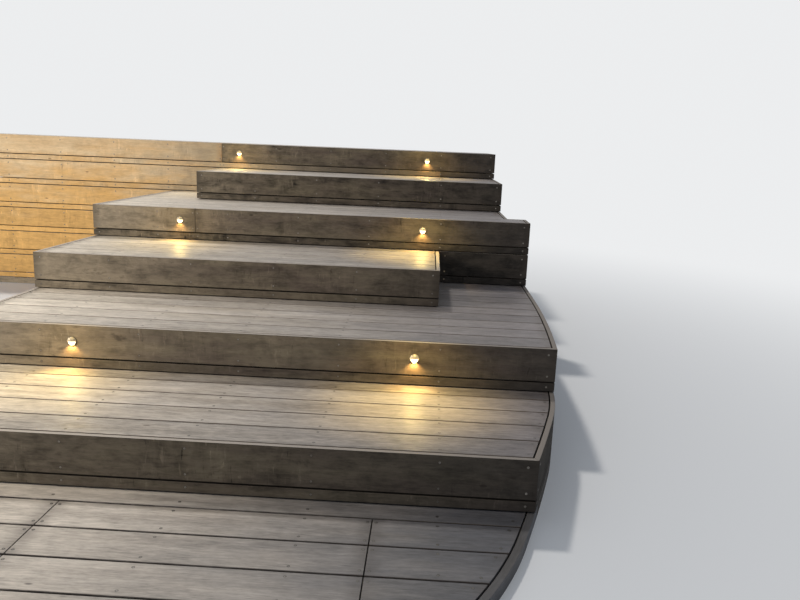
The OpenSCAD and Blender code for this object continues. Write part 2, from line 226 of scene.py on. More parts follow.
# %% [markdown]
# ## One board
# Every board here is a plate: an outline carried upwards, drawn in near its two faces so that the
# long edges are eased as planed decking is, while the sawn ends stay nearly square. Lofting a
# section along a path would do for straight boards, but the treads end on a curve and one is cut
# round the notch, which an outline follows exactly. Each board lies a hair inside the model's own,
# so that a screw head that stands a little proud of it still ends at the face.

# %% Draw an outline inwards
TINY = 1e-6


def straight(x0, x1, y0, y1):
    """Corners of a rectangle."""
    return np.array([[x0, y0], [x1, y0], [x1, y1], [x0, y1]])


def drawn_in(outline, by):
    """Moves each side of an anticlockwise outline inwards by its own amount. The corner between sides
    that move by a and b moves by (a + b) (n + m) / 2 (1 + n.m) + (a - b) (n - m) / 2 (1 - n.m), where
    n and m are the inward normals of the two sides."""
    ahead = np.roll(outline, -1, axis=0) - outline
    normal = np.column_stack([-ahead[:, 1], ahead[:, 0]]) / np.linalg.norm(ahead, axis=1)[:, None]
    before = np.roll(normal, 1, axis=0)
    turn = np.sum(normal * before, axis=1)[:, None]
    both = (by + np.roll(by, 1))[:, None] / 2
    apart = (by - np.roll(by, 1))[:, None] / 2
    return (outline + both * (normal + before) / (1.0 + turn)
            + apart * (normal - before) / np.maximum(1.0 - turn, TINY))


def anticlockwise(outline):
    """Whether the area that an outline goes round, the sum of x y' - x' y, is positive."""
    after = np.roll(outline, -1, axis=0)
    return np.sum(outline[:, 0] * after[:, 1] - after[:, 0] * outline[:, 1]) > 0


smaller = drawn_in(straight(0.0, 1.0, 0.0, 1.0), np.full(4, 0.1))
print("a square of 1 drawn in by 0.1 is", round(float(np.ptp(smaller[:, 0])), 3), "wide")

# %% [markdown]
# Three things are kept at each point of a board for the finish: where it lies in the grain, how far
# it is from the board's edges and ends, and the tone of its board. Each board starts at a place of
# its own in the grain, so that no two look alike.

# %% Make one board
EASE = 0.0028
UPRIGHT_EASE = 0.0015
EASE_STEPS = 3
END_SHARE = 0.2
CLEAR = 0.0003
GRAIN_SHIFT = 40.0
TONE_LIMIT = 2.0


def bands_of_quads(n, rings, closed=True):
    """Quads between rings of n points, i, i', n + i' and n + i, where i' comes after i in its ring."""
    here = np.arange(n if closed else n - 1)
    after = (here + 1) % n
    start = np.arange(rings - 1)[:, None] * n
    quads = np.stack([start + here, start + after, start + n + after, start + n + here], axis=-1)
    return quads.reshape(-1, 4).tolist()


def plate(outline, z0, z1, along=None, depth=None, tone=None, sheltered=False):
    """A board: at a height e (1 - sin t) from either face the outline is drawn in by e (1 - cos t),
    where e is its ease, and by a small share of that at its sawn ends. A flat board's grain runs
    along x. along and depth, one value per outline point, are given for an upright board, whose
    height lies across the grain. The edge value runs from -1 to 1 across the board, and a sheltered
    board's upper edge counts as a lower one."""
    outline = np.asarray(outline, float)
    order = slice(None) if anticlockwise(outline) else slice(None, None, -1)
    outline = outline[order]
    depth = outline[:, 1] if along is None else np.asarray(depth, float)[order]
    share = np.where(np.abs(np.roll(depth, -1) - depth) > TINY, END_SHARE, 1.0)
    ease = EASE if along is None else UPRIGHT_EASE
    turn = np.linspace(math.pi / 2, 0.0, EASE_STEPS)
    inset = ease * (1.0 - np.cos(turn))
    rise = CLEAR + ease * (1.0 - np.sin(turn))
    inset = np.concatenate([inset, inset[::-1]])
    height = np.concatenate([z0 + rise, (z1 - rise)[::-1]])
    rings = np.stack([drawn_in(outline, CLEAR + d * share) for d in inset])
    z = np.broadcast_to(height[:, None], rings.shape[:2])
    points = np.dstack([rings, z]).reshape(-1, 3)
    if along is None:
        grain = points.copy()
        across = rings[..., 1]
    else:
        a = np.broadcast_to(np.asarray(along, float)[order], z.shape)
        d = np.broadcast_to(depth, z.shape)
        grain = np.dstack([a, z, d]).reshape(-1, 3)
        across = z
    middle = (across.max() + across.min()) / 2
    edge = (across - middle) / (across.max() - middle)
    if sheltered:
        edge = -np.abs(edge)
    length = grain[:, 0]
    wear = np.column_stack([edge.ravel(), length - length.min(), length.max() - length])
    shade = np.clip(rng.normal(0.0, 1.0), -TONE_LIMIT, TONE_LIMIT) if tone is None else tone
    n = len(outline)
    lids = [list(range(n))[::-1], list(range(len(points) - n, len(points)))]
    return {"points": points, "faces": bands_of_quads(n, len(inset)) + lids,
            "grain": grain + rng.uniform(0.0, GRAIN_SHIFT, 3), "wear": wear,
            "tone": np.full(len(points), shade)}


print("edges are eased by", EASE * 1000, "and", UPRIGHT_EASE * 1000, "mm")

# %% [markdown]
# ## One piece from many parts
# Boards that belong together become one mesh with loose parts, as the model's own nodes do. The
# arrays are stacked and the face numbers are moved on by the points that came before. Faces are
# smooth with sharp edges past a small angle, so bent boards look bent and eased edges stay crisp.
# The values for the finish are kept at face corners, where cutting a bore carries them over.

# %% Join parts into a piece
SHARP = math.radians(12)
KINDS = {"grain": ("FLOAT_VECTOR", "vector"), "wear": ("FLOAT_VECTOR", "vector"),
         "place": ("FLOAT_VECTOR", "vector"), "tone": ("FLOAT", "value")}


def mesh_of(name, parts, sharp=SHARP):
    """One mesh with the points, faces and values of all its parts."""
    starts = np.cumsum([0] + [len(part["points"]) for part in parts])
    points = np.vstack([part["points"] for part in parts])
    faces = [[v + start for v in face] for part, start in zip(parts, starts) for face in part["faces"]]
    mesh = bpy.data.meshes.new(name)
    mesh.from_pydata(points.tolist(), [], faces)
    corner = np.empty(len(mesh.loops), np.int32)
    mesh.loops.foreach_get("vertex_index", corner)
    for key in parts[0].keys() & KINDS.keys():
        kind, field = KINDS[key]
        values = np.concatenate([part[key] for part in parts]).astype(np.float32)
        mesh.attributes.new(key, kind, "CORNER").data.foreach_set(field, values[corner].ravel())
    mesh.polygons.foreach_set("use_smooth", np.ones(len(faces), bool))
    mesh.set_sharp_from_angle(angle=sharp)
    return mesh


def piece(name, parts, slot, material, *nodes, sharp=SHARP):
    """Makes one object from its parts, rides it on the only body and replaces its CAD nodes."""
    mesh = mesh_of(name, parts, sharp)
    mesh.materials.append(material)
    made = placed(name, mesh)
    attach(made, "root")
    if nodes:
        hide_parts(*nodes)
    return made


print("edges are sharp past", round(math.degrees(SHARP)), "degrees")

# %% [markdown]
# ## Shader sums
# A finish is easier to read as sums than as a picture of nodes. This class wraps one output socket:
# adding, multiplying or subtracting two of them adds a Math node, and node() adds any other node.

# %% Wrap sockets
class Signal:
    """An output socket in a node tree."""

    def __init__(self, tree, socket=None):
        self.tree = tree
        self.socket = socket

    def node(self, kind, settings=None, values=None, out=0):
        """Adds a node, sets its settings and then its input sockets, and wraps the output named out."""
        made = self.tree.nodes.new(kind)
        for key, value in (settings or {}).items():
            setattr(made, key, value)
        for key, value in (values or {}).items():
            if isinstance(value, Signal):
                self.tree.links.new(value.socket, made.inputs[key])
            else:
                made.inputs[key].default_value = value
        return Signal(self.tree, made.outputs[out]) if len(made.outputs) else made

    def maths(self, operation, *others):
        """A Math node on this signal and others."""
        return self.node("ShaderNodeMath", {"operation": operation}, dict(enumerate((self,) + others)))

    def __add__(self, other):
        return self.maths("ADD", other)

    __radd__ = __add__

    def __sub__(self, other):
        return self.maths("SUBTRACT", other)

    def __rsub__(self, other):
        return self.node("ShaderNodeMath", {"operation": "SUBTRACT"}, {0: other, 1: self})

    def __mul__(self, other):
        return self.maths("MULTIPLY", other)

    __rmul__ = __mul__

    def __abs__(self):
        return self.maths("ABSOLUTE")

    def vector_maths(self, operation, *others, out=0):
        """A Vector Math node on this vector or colour and others."""
        values = dict(enumerate((self,) + others))
        return self.node("ShaderNodeVectorMath", {"operation": operation}, values, out)

    def scaled(self, x, y, z):
        """A vector or colour with each of its parts multiplied."""
        return self.vector_maths("MULTIPLY", (x, y, z))

    def lit(self, lightness):
        """A colour multiplied by one signal in all its parts."""
        grey = self.node("ShaderNodeCombineXYZ", None, {0: lightness, 1: lightness, 2: lightness})
        return self.vector_maths("MULTIPLY", grey)

    def moved(self, across):
        """A place moved by a signal in its second part."""
        return self.vector_maths("ADD", self.node("ShaderNodeCombineXYZ", None, {1: across}))

    def length(self):
        """Length of a vector."""
        return self.vector_maths("LENGTH", out="Value")

    def kept(self, name, out="Vector"):
        """A value that is kept in the mesh."""
        return self.node("ShaderNodeAttribute", {"attribute_name": name}, None, out)

    def on_object(self):
        """Place on the object's own axes."""
        return self.node("ShaderNodeTexCoord", None, None, "Object")

    def part(self, name):
        """The X, Y or Z of a vector."""
        return self.node("ShaderNodeSeparateXYZ", None, {0: self}, name)

    def step(self, start, end):
        """Smooth step from 0 at start to 1 at end."""
        settings = {"interpolation_type": "SMOOTHSTEP"}
        return self.node("ShaderNodeMapRange", settings, {0: self, 1: start, 2: end})

    def noise(self, detail=3.0, rough=0.5, twist=0.0):
        """Noise at the place that this vector gives, about 0 on average."""
        values = {"Vector": self, "Scale": 1.0, "Detail": detail, "Roughness": rough, "Distortion": twist}
        return self.node("ShaderNodeTexNoise", {"noise_dimensions": "3D"}, values) - 0.5

    def over(self, base, paint):
        """Lays paint over the base colour where this mask is 1."""
        settings = {"data_type": "RGBA", "clamp_factor": True}
        return self.node("ShaderNodeMix", settings, {0: self, 6: base, 7: paint}, 2)


print("ways to use a signal:", [name for name in vars(Signal) if not name.startswith("_")])

# %% [markdown]
# Every material starts from an empty tree and ends in one Principled shader. A value that is the
# same all over is set on the shader itself, and only what changes from place to place is linked.

# %% Start and end a material
def new_material(name):
    """A material with an empty tree, and the signal that nodes are added through."""
    made = bpy.data.materials.new(name)
    made.use_nodes = True
    made.node_tree.nodes.clear()
    return made, Signal(made.node_tree)


def finish(start, values):
    """Adds the shader and joins it to the material's output."""
    shader = start.node("ShaderNodeBsdfPrincipled", None, values)
    start.node("ShaderNodeOutputMaterial", None, {"Surface": shader})


print("materials so far:", len(bpy.data.materials))

# %% [markdown]
# ## Weathered wood
# Timber decking turns grey where rain and sun reach it, and stays dark on faces that stand
# upright. Fine fibres, streaks and broader bands run along each board, rain leaves soft patches and
# runs down the upright ones, small checks open along the grain, and a board darkens at its ends
# where it drinks water. All of it is noise stretched along the grain, so that it follows each board,
# the bent ones too, instead of lying across the whole object. How fine each pattern is stands in one
# table, as waves in a metre along, across and into the board.

# %% Define the grain
WAVES = {"waver": (1.1, 4.0, 4.0), "bands": (1.4, 22.0, 22.0), "streaks": (11.0, 105.0, 105.0),
         "fibres": (30.0, 380.0, 380.0), "checks": (6.0, 260.0, 260.0), "clouds": (2.5, 8.0, 8.0),
         "smudges": (9.0, 17.0, 17.0), "mottle": (24.0, 50.0, 50.0), "knots": (4.0, 10.0, 10.0),
         "wet": (5.0, 4.0, 4.0), "runs": (20.0, 2.5, 2.5), "drips": (70.0, 13.0, 13.0)}
WAVER = 0.03


def pattern(grain, name, detail, rough=0.5, twist=0.0):
    """One of the patterns of the table, as noise in the grain."""
    return grain.scaled(*WAVES[name]).noise(detail, rough, twist)


def in_grain(start, along):
    """Place in the grain: along, across and into the board, or from the object's own axes."""
    if along is None:
        return start.kept("grain")
    place = start.on_object()
    axes = along + "XYZ".replace(along, "")
    return start.node("ShaderNodeCombineXYZ", None, {i: place.part(axis) for i, axis in enumerate(axes)})


def grain_signals(grain):
    """Bands, streaks and fibres that waver a little along the board, and open checks."""
    wavy = grain.moved(pattern(grain, "waver", 2.0) * WAVER)
    bands = pattern(wavy, "bands", 3.0, 0.55)
    streaks = pattern(wavy, "streaks", 4.0, 0.7)
    fibres = pattern(wavy, "fibres", 2.0, 0.6)
    checks = pattern(wavy, "checks", 2.0).step(0.2, 0.27)
    return bands, streaks, fibres, checks


print("patterns:", ", ".join(WAVES))

# %% [markdown]
# Rain marks, damp ends and painted shade along the long edges, where the gaps are, come on top. A
# mask is a signal from 0 to 1 that says how much of a colour is laid over the wood. The open top edge
# of an upright board is nearly as pale as the treads.

# %% Define rain, damp ends and edge shade
PALE_TOP = (0.38, 0.345, 0.305, 1)
SHADED_TOP = (0.21, 0.19, 0.175, 1)
DAMP_END = 0.06
DRIP_SHARE = 0.45


def rain(grain):
    """Lightness of soft runs and of sharper drips, pale and dark, in patches that get wet."""
    wet = pattern(grain, "wet", 2.0).step(-0.05, 0.15)
    drips = pattern(grain, "drips", 3.0, 0.6, 0.5)
    sharp = drips.step(0.1, 0.2) - drips.step(-0.12, -0.22)
    return (pattern(grain, "runs", 4.0, 0.65) + sharp * DRIP_SHARE) * wet


def damp_ends_and_edge_shade(wear, edges):
    """Mask of a board's damp ends, and of painted shade along its long edges, where the gaps are."""
    near_end = wear.part("Y").maths("MINIMUM", wear.part("Z")).step(DAMP_END, 0.0)
    return near_end * 0.4 + abs(wear.part("X")).step(0.96, 0.995) * edges


def with_open_top(colour, start, wear, place):
    """Lays a pale colour on the upward face at the top of an upright board, paler at the left and darker
    at the right, which is painted light and shade.
    """
    up = start.node("ShaderNodeNewGeometry", None, None, "Normal").part("Z").step(0.4, 0.8)
    # Paler at the left and darker at the right: painted light and shade.
    pale = place.part("X").step(0.0, 2.2).over(PALE_TOP, SHADED_TOP)
    return (up * wear.part("X").step(0.5, 0.9)).over(colour, pale)


print("ends are damp for", DAMP_END * 1000, "mm")

# %% [markdown]
# A finish takes its two main colours, a dark colour for dirt, knots, checks and the painted shade
# along the long edges, and how strong each effect is. The boards are paler near the left end and
# darker towards the right, which is partly weathering and partly painted light and shade, as more
# light falls on the left, so a finish may name a colour for an end, with the axis and the two places
# between which it fades in.

# %% Define the wood finish
TONE_STEP = 0.07
GRAIN_DEPTH = 0.0015


def wood(name, light, brown, dark, grainy=1.0, blotchy=0.5, runs=0.0, stains=0.3, edges=0.6, rough=0.55,
         sheen=0.5, ends=(), upright=False, along=None):
    """A board finish that follows the grain kept in the mesh, or an axis of the object."""
    material, start = new_material(name)
    grain = in_grain(start, along)
    bands, streaks, fibres, checks = grain_signals(grain)
    cloud = pattern(grain, "clouds", 4.0, 0.6)
    smudge = pattern(grain, "smudges", 5.0, 0.68, 0.25)
    cells = {"Vector": grain.scaled(*WAVES["knots"]), "Scale": 1.0}
    knot = start.node("ShaderNodeTexVoronoi", None, cells)
    place = start.on_object()
    colour = (cloud * 2.6 + bands * 1.4 + 0.5).over(brown, light)
    # End colours: paler at the left and darker at the right, partly weathering and partly painted light
    # and shade.
    for axis, end, none, full in ends:
        colour = (place.part(axis) + cloud).step(none, full).over(colour, end)
    fine = bands * 0.6 + streaks + fibres * 0.8 + pattern(grain, "mottle", 4.0, 0.7) * 0.5
    lightness = 1.0 + start.kept("tone", "Fac") * TONE_STEP + fine * grainy + smudge * blotchy
    if runs:
        lightness = lightness + rain(grain) * runs
    colour = colour.lit(lightness)
    colour = (smudge.step(0.06, 0.24) * stains).over(colour, dark)
    colour = (knot.step(0.07, 0.03) * 0.8 + checks * 0.35).over(colour, dark)
    if along is None:
        wear = start.kept("wear")
        # The long edges get painted shade of the gaps between boards, and the ends are darker where damp.
        colour = (damp_ends_and_edge_shade(wear, edges) * (1.0 + smudge * 3.0)).over(colour, dark)
        if upright:
            colour = with_open_top(colour, start, wear, place)
    height = fibres * 0.5 + streaks * 0.4 + bands * 0.2 - checks * 0.25
    relief = {"Height": height, "Strength": 0.5, "Distance": GRAIN_DEPTH}
    finish(start, {"Base Color": colour, "Normal": start.node("ShaderNodeBump", None, relief),
                   "Roughness": rough + bands * 0.3 + cloud * 0.3, "Specular IOR Level": sheen})
    return material


print("a tone of 1 is", TONE_STEP * 100, "percent lighter")

# %% [markdown]
# The treads are cream-grey and streaky. The lower deck is darker and browner, with a bent edge board
# that is nearly black with painted shade. The risers are a dark brown that pales towards the left,
# partly with painted light, the right side is darker still with painted shade, and the skirt of the
# upper deck is a warm tan, partly painted warm light.

# %% Mix the wood finishes
# The pale left end and the bluish grey right end are partly weathering and partly painted light and shade.
TREAD = wood("tread_wood", (0.40, 0.365, 0.325, 1), (0.305, 0.268, 0.225, 1), (0.085, 0.065, 0.05, 1),
             grainy=1.3, stains=0.15, edges=0.9, rough=0.52, blotchy=0.85, sheen=0.3,
             ends=[("X", (0.14, 0.128, 0.132, 1), 0.2, 2.3), ("X", (0.49, 0.45, 0.39, 1), 0.5, -0.5)])
# The pale left end and the bluish dark right end are partly weathering and partly painted light and shade.
LOWER = wood("lower_wood", (0.42, 0.385, 0.345, 1), (0.31, 0.275, 0.24, 1), (0.06, 0.05, 0.045, 1),
             grainy=1.1, stains=0.15, edges=0.9, blotchy=0.7, sheen=0.4,
             ends=[("X", (0.07, 0.071, 0.08, 1), 0.4, 1.9), ("X", (0.48, 0.44, 0.39, 1), 0.9, 0.0)])
# The bent edge board's near-black is painted shade of the right side.
EDGE_PAINTED_SHADE = wood("lower_edge_wood", (0.105, 0.105, 0.112, 1), (0.08, 0.078, 0.08, 1), (0.03, 0.027, 0.025, 1),
            grainy=0.7, stains=0.3, edges=0.3, blotchy=0.6, sheen=0.2)
# The pale left end and the near-black right end are partly weathering and partly painted light and shade.
RISER = wood("riser_wood", (0.155, 0.132, 0.096, 1), (0.095, 0.075, 0.062, 1), (0.03, 0.024, 0.019, 1),
             grainy=0.7, blotchy=2.1, runs=1.2, stains=0.7, edges=0.8, rough=0.7, sheen=0.2, upright=True,
             ends=[("X", (0.245, 0.208, 0.156, 1), 0.75, -0.45), ("X", (0.04, 0.035, 0.032, 1), 0.9, 2.4)])
# The dark brown of the right side is painted shade of the side that faces away from the light.
SIDE_PAINTED_SHADE = wood("side_wood", (0.065, 0.057, 0.049, 1), (0.042, 0.038, 0.034, 1), (0.018, 0.015, 0.013, 1),
            grainy=0.4, blotchy=1.5, runs=0.8, stains=0.5, edges=0.3, rough=0.9, sheen=0.1, upright=True)
# The skirt's warm tan, and the orange that it turns towards the bottom, are partly painted warm light from
# low lights.
SKIRT_PAINTED_WARM_LIGHT = wood("skirt_wood", (0.59, 0.465, 0.30, 1), (0.53, 0.37, 0.20, 1), (0.22, 0.13, 0.065, 1),
             grainy=0.6, blotchy=0.7, runs=0.9, stains=0.2, edges=0.4, rough=0.6, sheen=0.3, upright=True,
             ends=[("Z", (0.59, 0.362, 0.128, 1), 1.12, 0.5), ("X", (0.32, 0.265, 0.19, 1), -0.7, 0.05),
                   ("X", (0.12, 0.10, 0.075, 1), 0.1, 0.9)])
# The frame is dark so that the gaps between the boards read as black: painted shade.
FRAME_PAINTED_GAP_SHADE = {axis: wood("frame_wood_" + axis.lower(), (0.13, 0.11, 0.08, 1), (0.09, 0.075, 0.055, 1),
                    (0.04, 0.03, 0.02, 1), rough=0.7, along=axis) for axis in "XYZ"}
print("wood finishes:", [made.name for made in (TREAD, LOWER, EDGE_PAINTED_SHADE, RISER, SIDE_PAINTED_SHADE, SKIRT_PAINTED_WARM_LIGHT, *FRAME_PAINTED_GAP_SHADE.values())])

# %% [markdown]
# ## Treads
# Each level is a row of boards with open gaps, set out from the back of its riser board. The last
# one disappears under the next riser, so it's cut to what is left. The boards of the two landings
# are a little paler than the rest, which an addition to their tone gives.

# %% Make the tread boards
LEAST_ROW = 0.02
TREAD_TONE = {2: 0.5, 4: 2.0}


def rows(level):
    """Front and back of each tread board of a level."""
    front = RISER_Y[level] + INNER
    back = high(TREADS[level], 1)
    starts = np.arange(front, back - LEAST_ROW, BOARD_W + GAP)
    return [(y, min(y + BOARD_W, back)) for y in starts]


def tread_boards(level):
    """Plates of one level, from the riser back, cut to the right side and at its end joint."""
    left = LEFT_SIDE.get(level, LEFT) + INNER
    cuts = [FAR_JOINT] if level == 5 else []
    boards = []
    for y0, y1 in rows(level):
        starts = [left] + [x + BUTT_GAP / 2 for x in cuts]
        outlines = [straight(a, b - BUTT_GAP / 2, y0, y1) for a, b in zip(starts, cuts)]
        outlines.append(np.vstack([[starts[-1], y0], right_run(level, y0, y1, INNER), [starts[-1], y1]]))
        boards += [plate(outline, LEVEL_Z[level] - BOARD_T, LEVEL_Z[level]) for outline in outlines]
    for board in boards:
        board["tone"] += TREAD_TONE.get(level, 0.0)
    return boards


for level, node in TREADS.items():
    boards = tread_boards(level)
    piece(node.replace("boards", "treads"), boards, "tread_wood", TREAD, node)
    print(node, len(boards), "boards")

# %% [markdown]
# ## Lower deck
# The lowest boards are wider and darker, with end joints in two lines. A thicker board is bent
# round the corner and closes the ends of the others.

# %% Make the lower deck
LOWER_BOARD_W = 0.152
LOWER_GAP = 0.006
LOWER_FIRST = 0.087
LOWER_ROWS = 6
EDGE_T = 0.025
JOINT_GAP = 0.003
JOINT_X = LEFT + np.array([0.842, 1.849])
LEAST_BOARD = 0.04


def lower_y(row):
    """Front of a row of the lower deck. Row 0 runs under the first riser."""
    return RISER_Y[1] - LOWER_FIRST - row * (LOWER_BOARD_W + LOWER_GAP)


def lower_cuts(row):
    """End joints of a row of the lower deck."""
    reach = side_x(lower_y(row), EDGE_T + GAP) - LEAST_BOARD
    return [] if row == 0 else [x for x in JOINT_X if x < reach]


def lower_row(row):
    """Plates of one row of the lower deck."""
    y0 = lower_y(row)
    y1 = y0 + LOWER_BOARD_W
    inset = EDGE_T + GAP
    cuts = lower_cuts(row)
    starts = [LEFT + inset] + [x + JOINT_GAP / 2 for x in cuts]
    outlines = [straight(a, b - JOINT_GAP / 2, y0, y1) for a, b in zip(starts, cuts)]
    outlines.append(np.vstack([[starts[-1], y0], side_run(y0, y1, inset), [starts[-1], y1]]))
    return [plate(o, LEVEL_Z[0] - BOARD_T, LEVEL_Z[0]) for o in outlines]


lower = [board for row in range(LOWER_ROWS + 1) for board in lower_row(row)]
piece("lower_deck_planks", lower, "lower_wood", LOWER, "lower_deck_boards")
print("lower deck:", len(lower), "boards")

# %% [markdown]
# A bent board keeps the distance along its own face as its grain, measured on the outer and on the
# inner side.

# %% Close the lower deck with its edge boards
def travelled(points):
    """Distance along a run of points."""
    steps = np.linalg.norm(np.diff(points, axis=0), axis=1)
    return np.concatenate([[0.0], np.cumsum(steps)])


def bent(outer, inner, thick=BOARD_T):
    """Outline of a bent board, with each point's distance along the board and depth into it."""
    outline = np.vstack([outer, inner[::-1]])
    along = np.concatenate([travelled(outer), travelled(inner)[::-1]])
    depth = np.concatenate([np.zeros(len(outer)), np.full(len(inner), thick)])
    return outline, along, depth


def foot_board(outline, along, depth):
    """An upright board that stands on the floor and is as high as the lower deck."""
    return plate(outline, 0.0, LEVEL_Z[0], along, depth)


LOWER_BACK = high("lower_deck_edge", 1)
outer_run = side_run(FRONT_Y, LOWER_BACK)
bent_edge = bent(outer_run, side_run(FRONT_Y + EDGE_T, LOWER_BACK, EDGE_T), EDGE_T)
corner = float(side_x(FRONT_Y))
inner_corner = float(side_x(FRONT_Y + EDGE_T, EDGE_T))
front_edge = np.array([[LEFT, FRONT_Y], [corner, FRONT_Y], [inner_corner, FRONT_Y + EDGE_T],
                       [LEFT + EDGE_T, FRONT_Y + EDGE_T]])
left_edge = np.array([[LEFT, FRONT_Y], [LEFT + EDGE_T, FRONT_Y + EDGE_T],
                      [LEFT + EDGE_T, LOWER_BACK], [LEFT, LOWER_BACK]])
for name, node, wood_finish, plan in (
        ("lower_deck_bent_edge", "lower_deck_edge", EDGE_PAINTED_SHADE, bent_edge),
        ("lower_deck_front_edge", "lower_deck_front", LOWER, (front_edge, *front_edge.T)),
        ("lower_deck_left_edge", "lower_deck_left", LOWER, (left_edge, *left_edge.T[::-1]))):
    piece(name, [foot_board(*plan)], "lower_wood", wood_finish, node)
print("bent edge board:", round(float(travelled(outer_run)[-1]), 2), "m long")

# %% [markdown]
# ## Risers and sides
# Each riser is a wide board over a narrow strip, with a dark gap under each. Where it meets a side
# board the two are mitred, and where a board was too short the next one butts against it. The side
# boards of the first levels are bent round the curve.

# %% Make the courses
def wide(level, outline, along, depth, tone=None):
    """The wide board of a course."""
    return plate(outline, LEVEL_Z[level] - FASCIA_W, LEVEL_Z[level], along, depth, tone)


def strip(level, outline, along, depth, tone=None):
    """The narrow strip of a course."""
    foot = LEVEL_Z[level - 1] + GAP
    return plate(outline, foot, foot + STRIP_W, along, depth, tone, True)


def course(level, outline, along, depth, tone=None):
    """The wide board and the strip of one course."""
    return [wide(level, outline, along, depth, tone), strip(level, outline, along, depth, tone)]


def cladding(node, boards, wood_finish=RISER):
    """One piece from the boards that clad a face. It replaces the node that it's named after."""
    return piece(node + "_cladding", boards, "riser_wood", wood_finish, node)


def across_plan(x0, x0_in, x1, x1_in, y, inward=BOARD_T):
    """Plan of a board that runs along x, from its outer face at y to its inner face."""
    outline = np.array([[x0, y], [x1, y], [x1_in, y + inward], [x0_in, y + inward]])
    return outline, outline[:, 0], outline[:, 1]


def upward_plan(y0, y0_in, y1, y1_in, x, inward):
    """Plan of a board that runs along y, from its outer face at x to its inner face."""
    outline = np.array([[x, y0], [x + inward, y0_in], [x + inward, y1_in], [x, y1]])
    return outline, outline[:, 1], outline[:, 0]


def riser_plans(level, cuts=()):
    """Plans of the boards of a riser: mitred at its two ends and square at its end joints."""
    y = RISER_Y[level]
    left = LEFT_SIDE.get(level, LEFT)
    starts = [(left, left + BOARD_T)] + [(x + BUTT_GAP / 2,) * 2 for x in cuts]
    ends = [(x - BUTT_GAP / 2,) * 2 for x in cuts]
    ends.append((right_end(level, y), right_end(level, y + BOARD_T, BOARD_T)))
    return [across_plan(*a, *b, y) for a, b in zip(starts, ends)]


print("riser 1 is", round(right_end(1, RISER_Y[1]) - LEFT, 3), "m wide")

# %% [markdown]
# Three risers have two round bores each in their wide boards, for the lights. A round hole in a loft
# would need its own ring of faces, so a cylinder is cut from the finished board instead, and the
# result is kept as a plain mesh.

# %% Cut bores for the lights
BORE_R = 0.017
BORE_SIDES = 48
LIGHT_DROP = FASCIA_W / 2
LIGHT_X = LEFT + np.array([0.520, 1.950])
LIGHTS = [(float(x), RISER_Y[k], LEVEL_Z[k] - LIGHT_DROP) for k in (2, 4, 6) for x in LIGHT_X]


def rod(x, y0, y1, z, radius):
    """A closed cylinder along y, with x + r cos t and z + r sin t on its two rings."""
    t = np.arange(BORE_SIDES) * 2 * math.pi / BORE_SIDES
    ring = np.column_stack([x + radius * np.cos(t), np.zeros_like(t), z + radius * np.sin(t)])
    here = np.arange(BORE_SIDES)
    after = (here + 1) % BORE_SIDES
    quads = np.column_stack([here, here + BORE_SIDES, after + BORE_SIDES, after]).tolist()
    lids = [here.tolist(), (here[::-1] + BORE_SIDES).tolist()]
    return {"points": np.vstack([ring + (0, y0, 0), ring + (0, y1, 0)]), "faces": quads + lids}


def bored(made, places):
    """Cuts a bore at each place, through the board."""
    cutters = [rod(x, y - BOARD_T, y + 2 * BOARD_T, z, BORE_R) for x, y, z in places]
    cutter = placed("cutter", mesh_of("cutter", cutters))
    cut = made.modifiers.new("bores", "BOOLEAN")
    cut.object = cutter
    cut.solver = "EXACT"
    bpy.context.view_layer.update()
    whole = made.data
    ready = made.evaluated_get(bpy.context.evaluated_depsgraph_get())
    made.data = bpy.data.meshes.new_from_object(ready)
    made.data.name = whole.name
    made.modifiers.clear()
    made.data.set_sharp_from_angle(angle=SHARP)
    bpy.data.objects.remove(cutter)
    bpy.data.meshes.remove(whole)


print(len(LIGHTS), "bores of", BORE_R * 2000, "mm")

# %% [markdown]
# The tone of each riser's boards is given one by one, from the pale second riser to the dark fifth.
# The fourth riser has a short board at its left end. The sixth is part of the upper deck's front,
# which changes from the skirt's warm tan, partly painted warm light, to the risers' brown where the
# stairs begin.

# %% Make the risers
RISER_TONE = {1: -1.5, 2: 2.6, 3: -0.3, 4: -1.7, 5: -4.7, 6: -2.8}
STRIP_TONE = {1: -1.5, 2: -0.5, 3: -2.0, 4: -7.0, 5: -4.7, 6: -2.8}
SHORT_TONE = 0.3
for level in (1, 2, 3, 5):
    plan = riser_plans(level)[0]
    boards = [wide(level, *plan, RISER_TONE[level]), strip(level, *plan, STRIP_TONE[level])]
    cladding("riser_%d" % level, boards)
short, long = riser_plans(4, [RISER_4_JOINT])
cladding("riser_4", [wide(4, *short, SHORT_TONE), wide(4, *long, RISER_TONE[4]),
                     strip(4, *riser_plans(4)[0], STRIP_TONE[4])])
deck_wide, stair_wide = riser_plans(6, [JOIST_X])
deck_strip, stair_strip = riser_plans(6, [FAR_JOINT])
cladding("riser_6", [wide(6, *stair_wide, RISER_TONE[6]), strip(6, *stair_strip, STRIP_TONE[6])])
piece("skirt_top_planks", [wide(6, *deck_wide), strip(6, *deck_strip)], "skirt_wood", SKIRT_PAINTED_WARM_LIGHT, "riser_6")
for level in (2, 4, 6):
    bored(bpy.data.objects["riser_%d_cladding" % level], [at for at in LIGHTS if at[1] == RISER_Y[level]])
print("risers", min(RISER_TONE), "to", max(RISER_TONE))

# %% [markdown]
# The sides repeat the courses of the risers. On the right they are bent round the curve as far as
# the notch, which is closed with short boards.

# %% Make the sides
# The boards beside the block step are made much darker: painted shade of the block.
BLOCK_PAINTED_SHADE_TONE = -6.4
CURVE_FRONT = {1: RISER_Y[1], 2: RISER_Y[2], 3: RISER_Y[4], 4: RISER_Y[4]}
for level, y in CURVE_FRONT.items():
    plan = bent(side_run(y, NOTCH_Y), side_run(y + BOARD_T, NOTCH_Y - BOARD_T, BOARD_T))
    cladding("right_side_%d" % level, course(level, *plan), SIDE_PAINTED_SHADE)


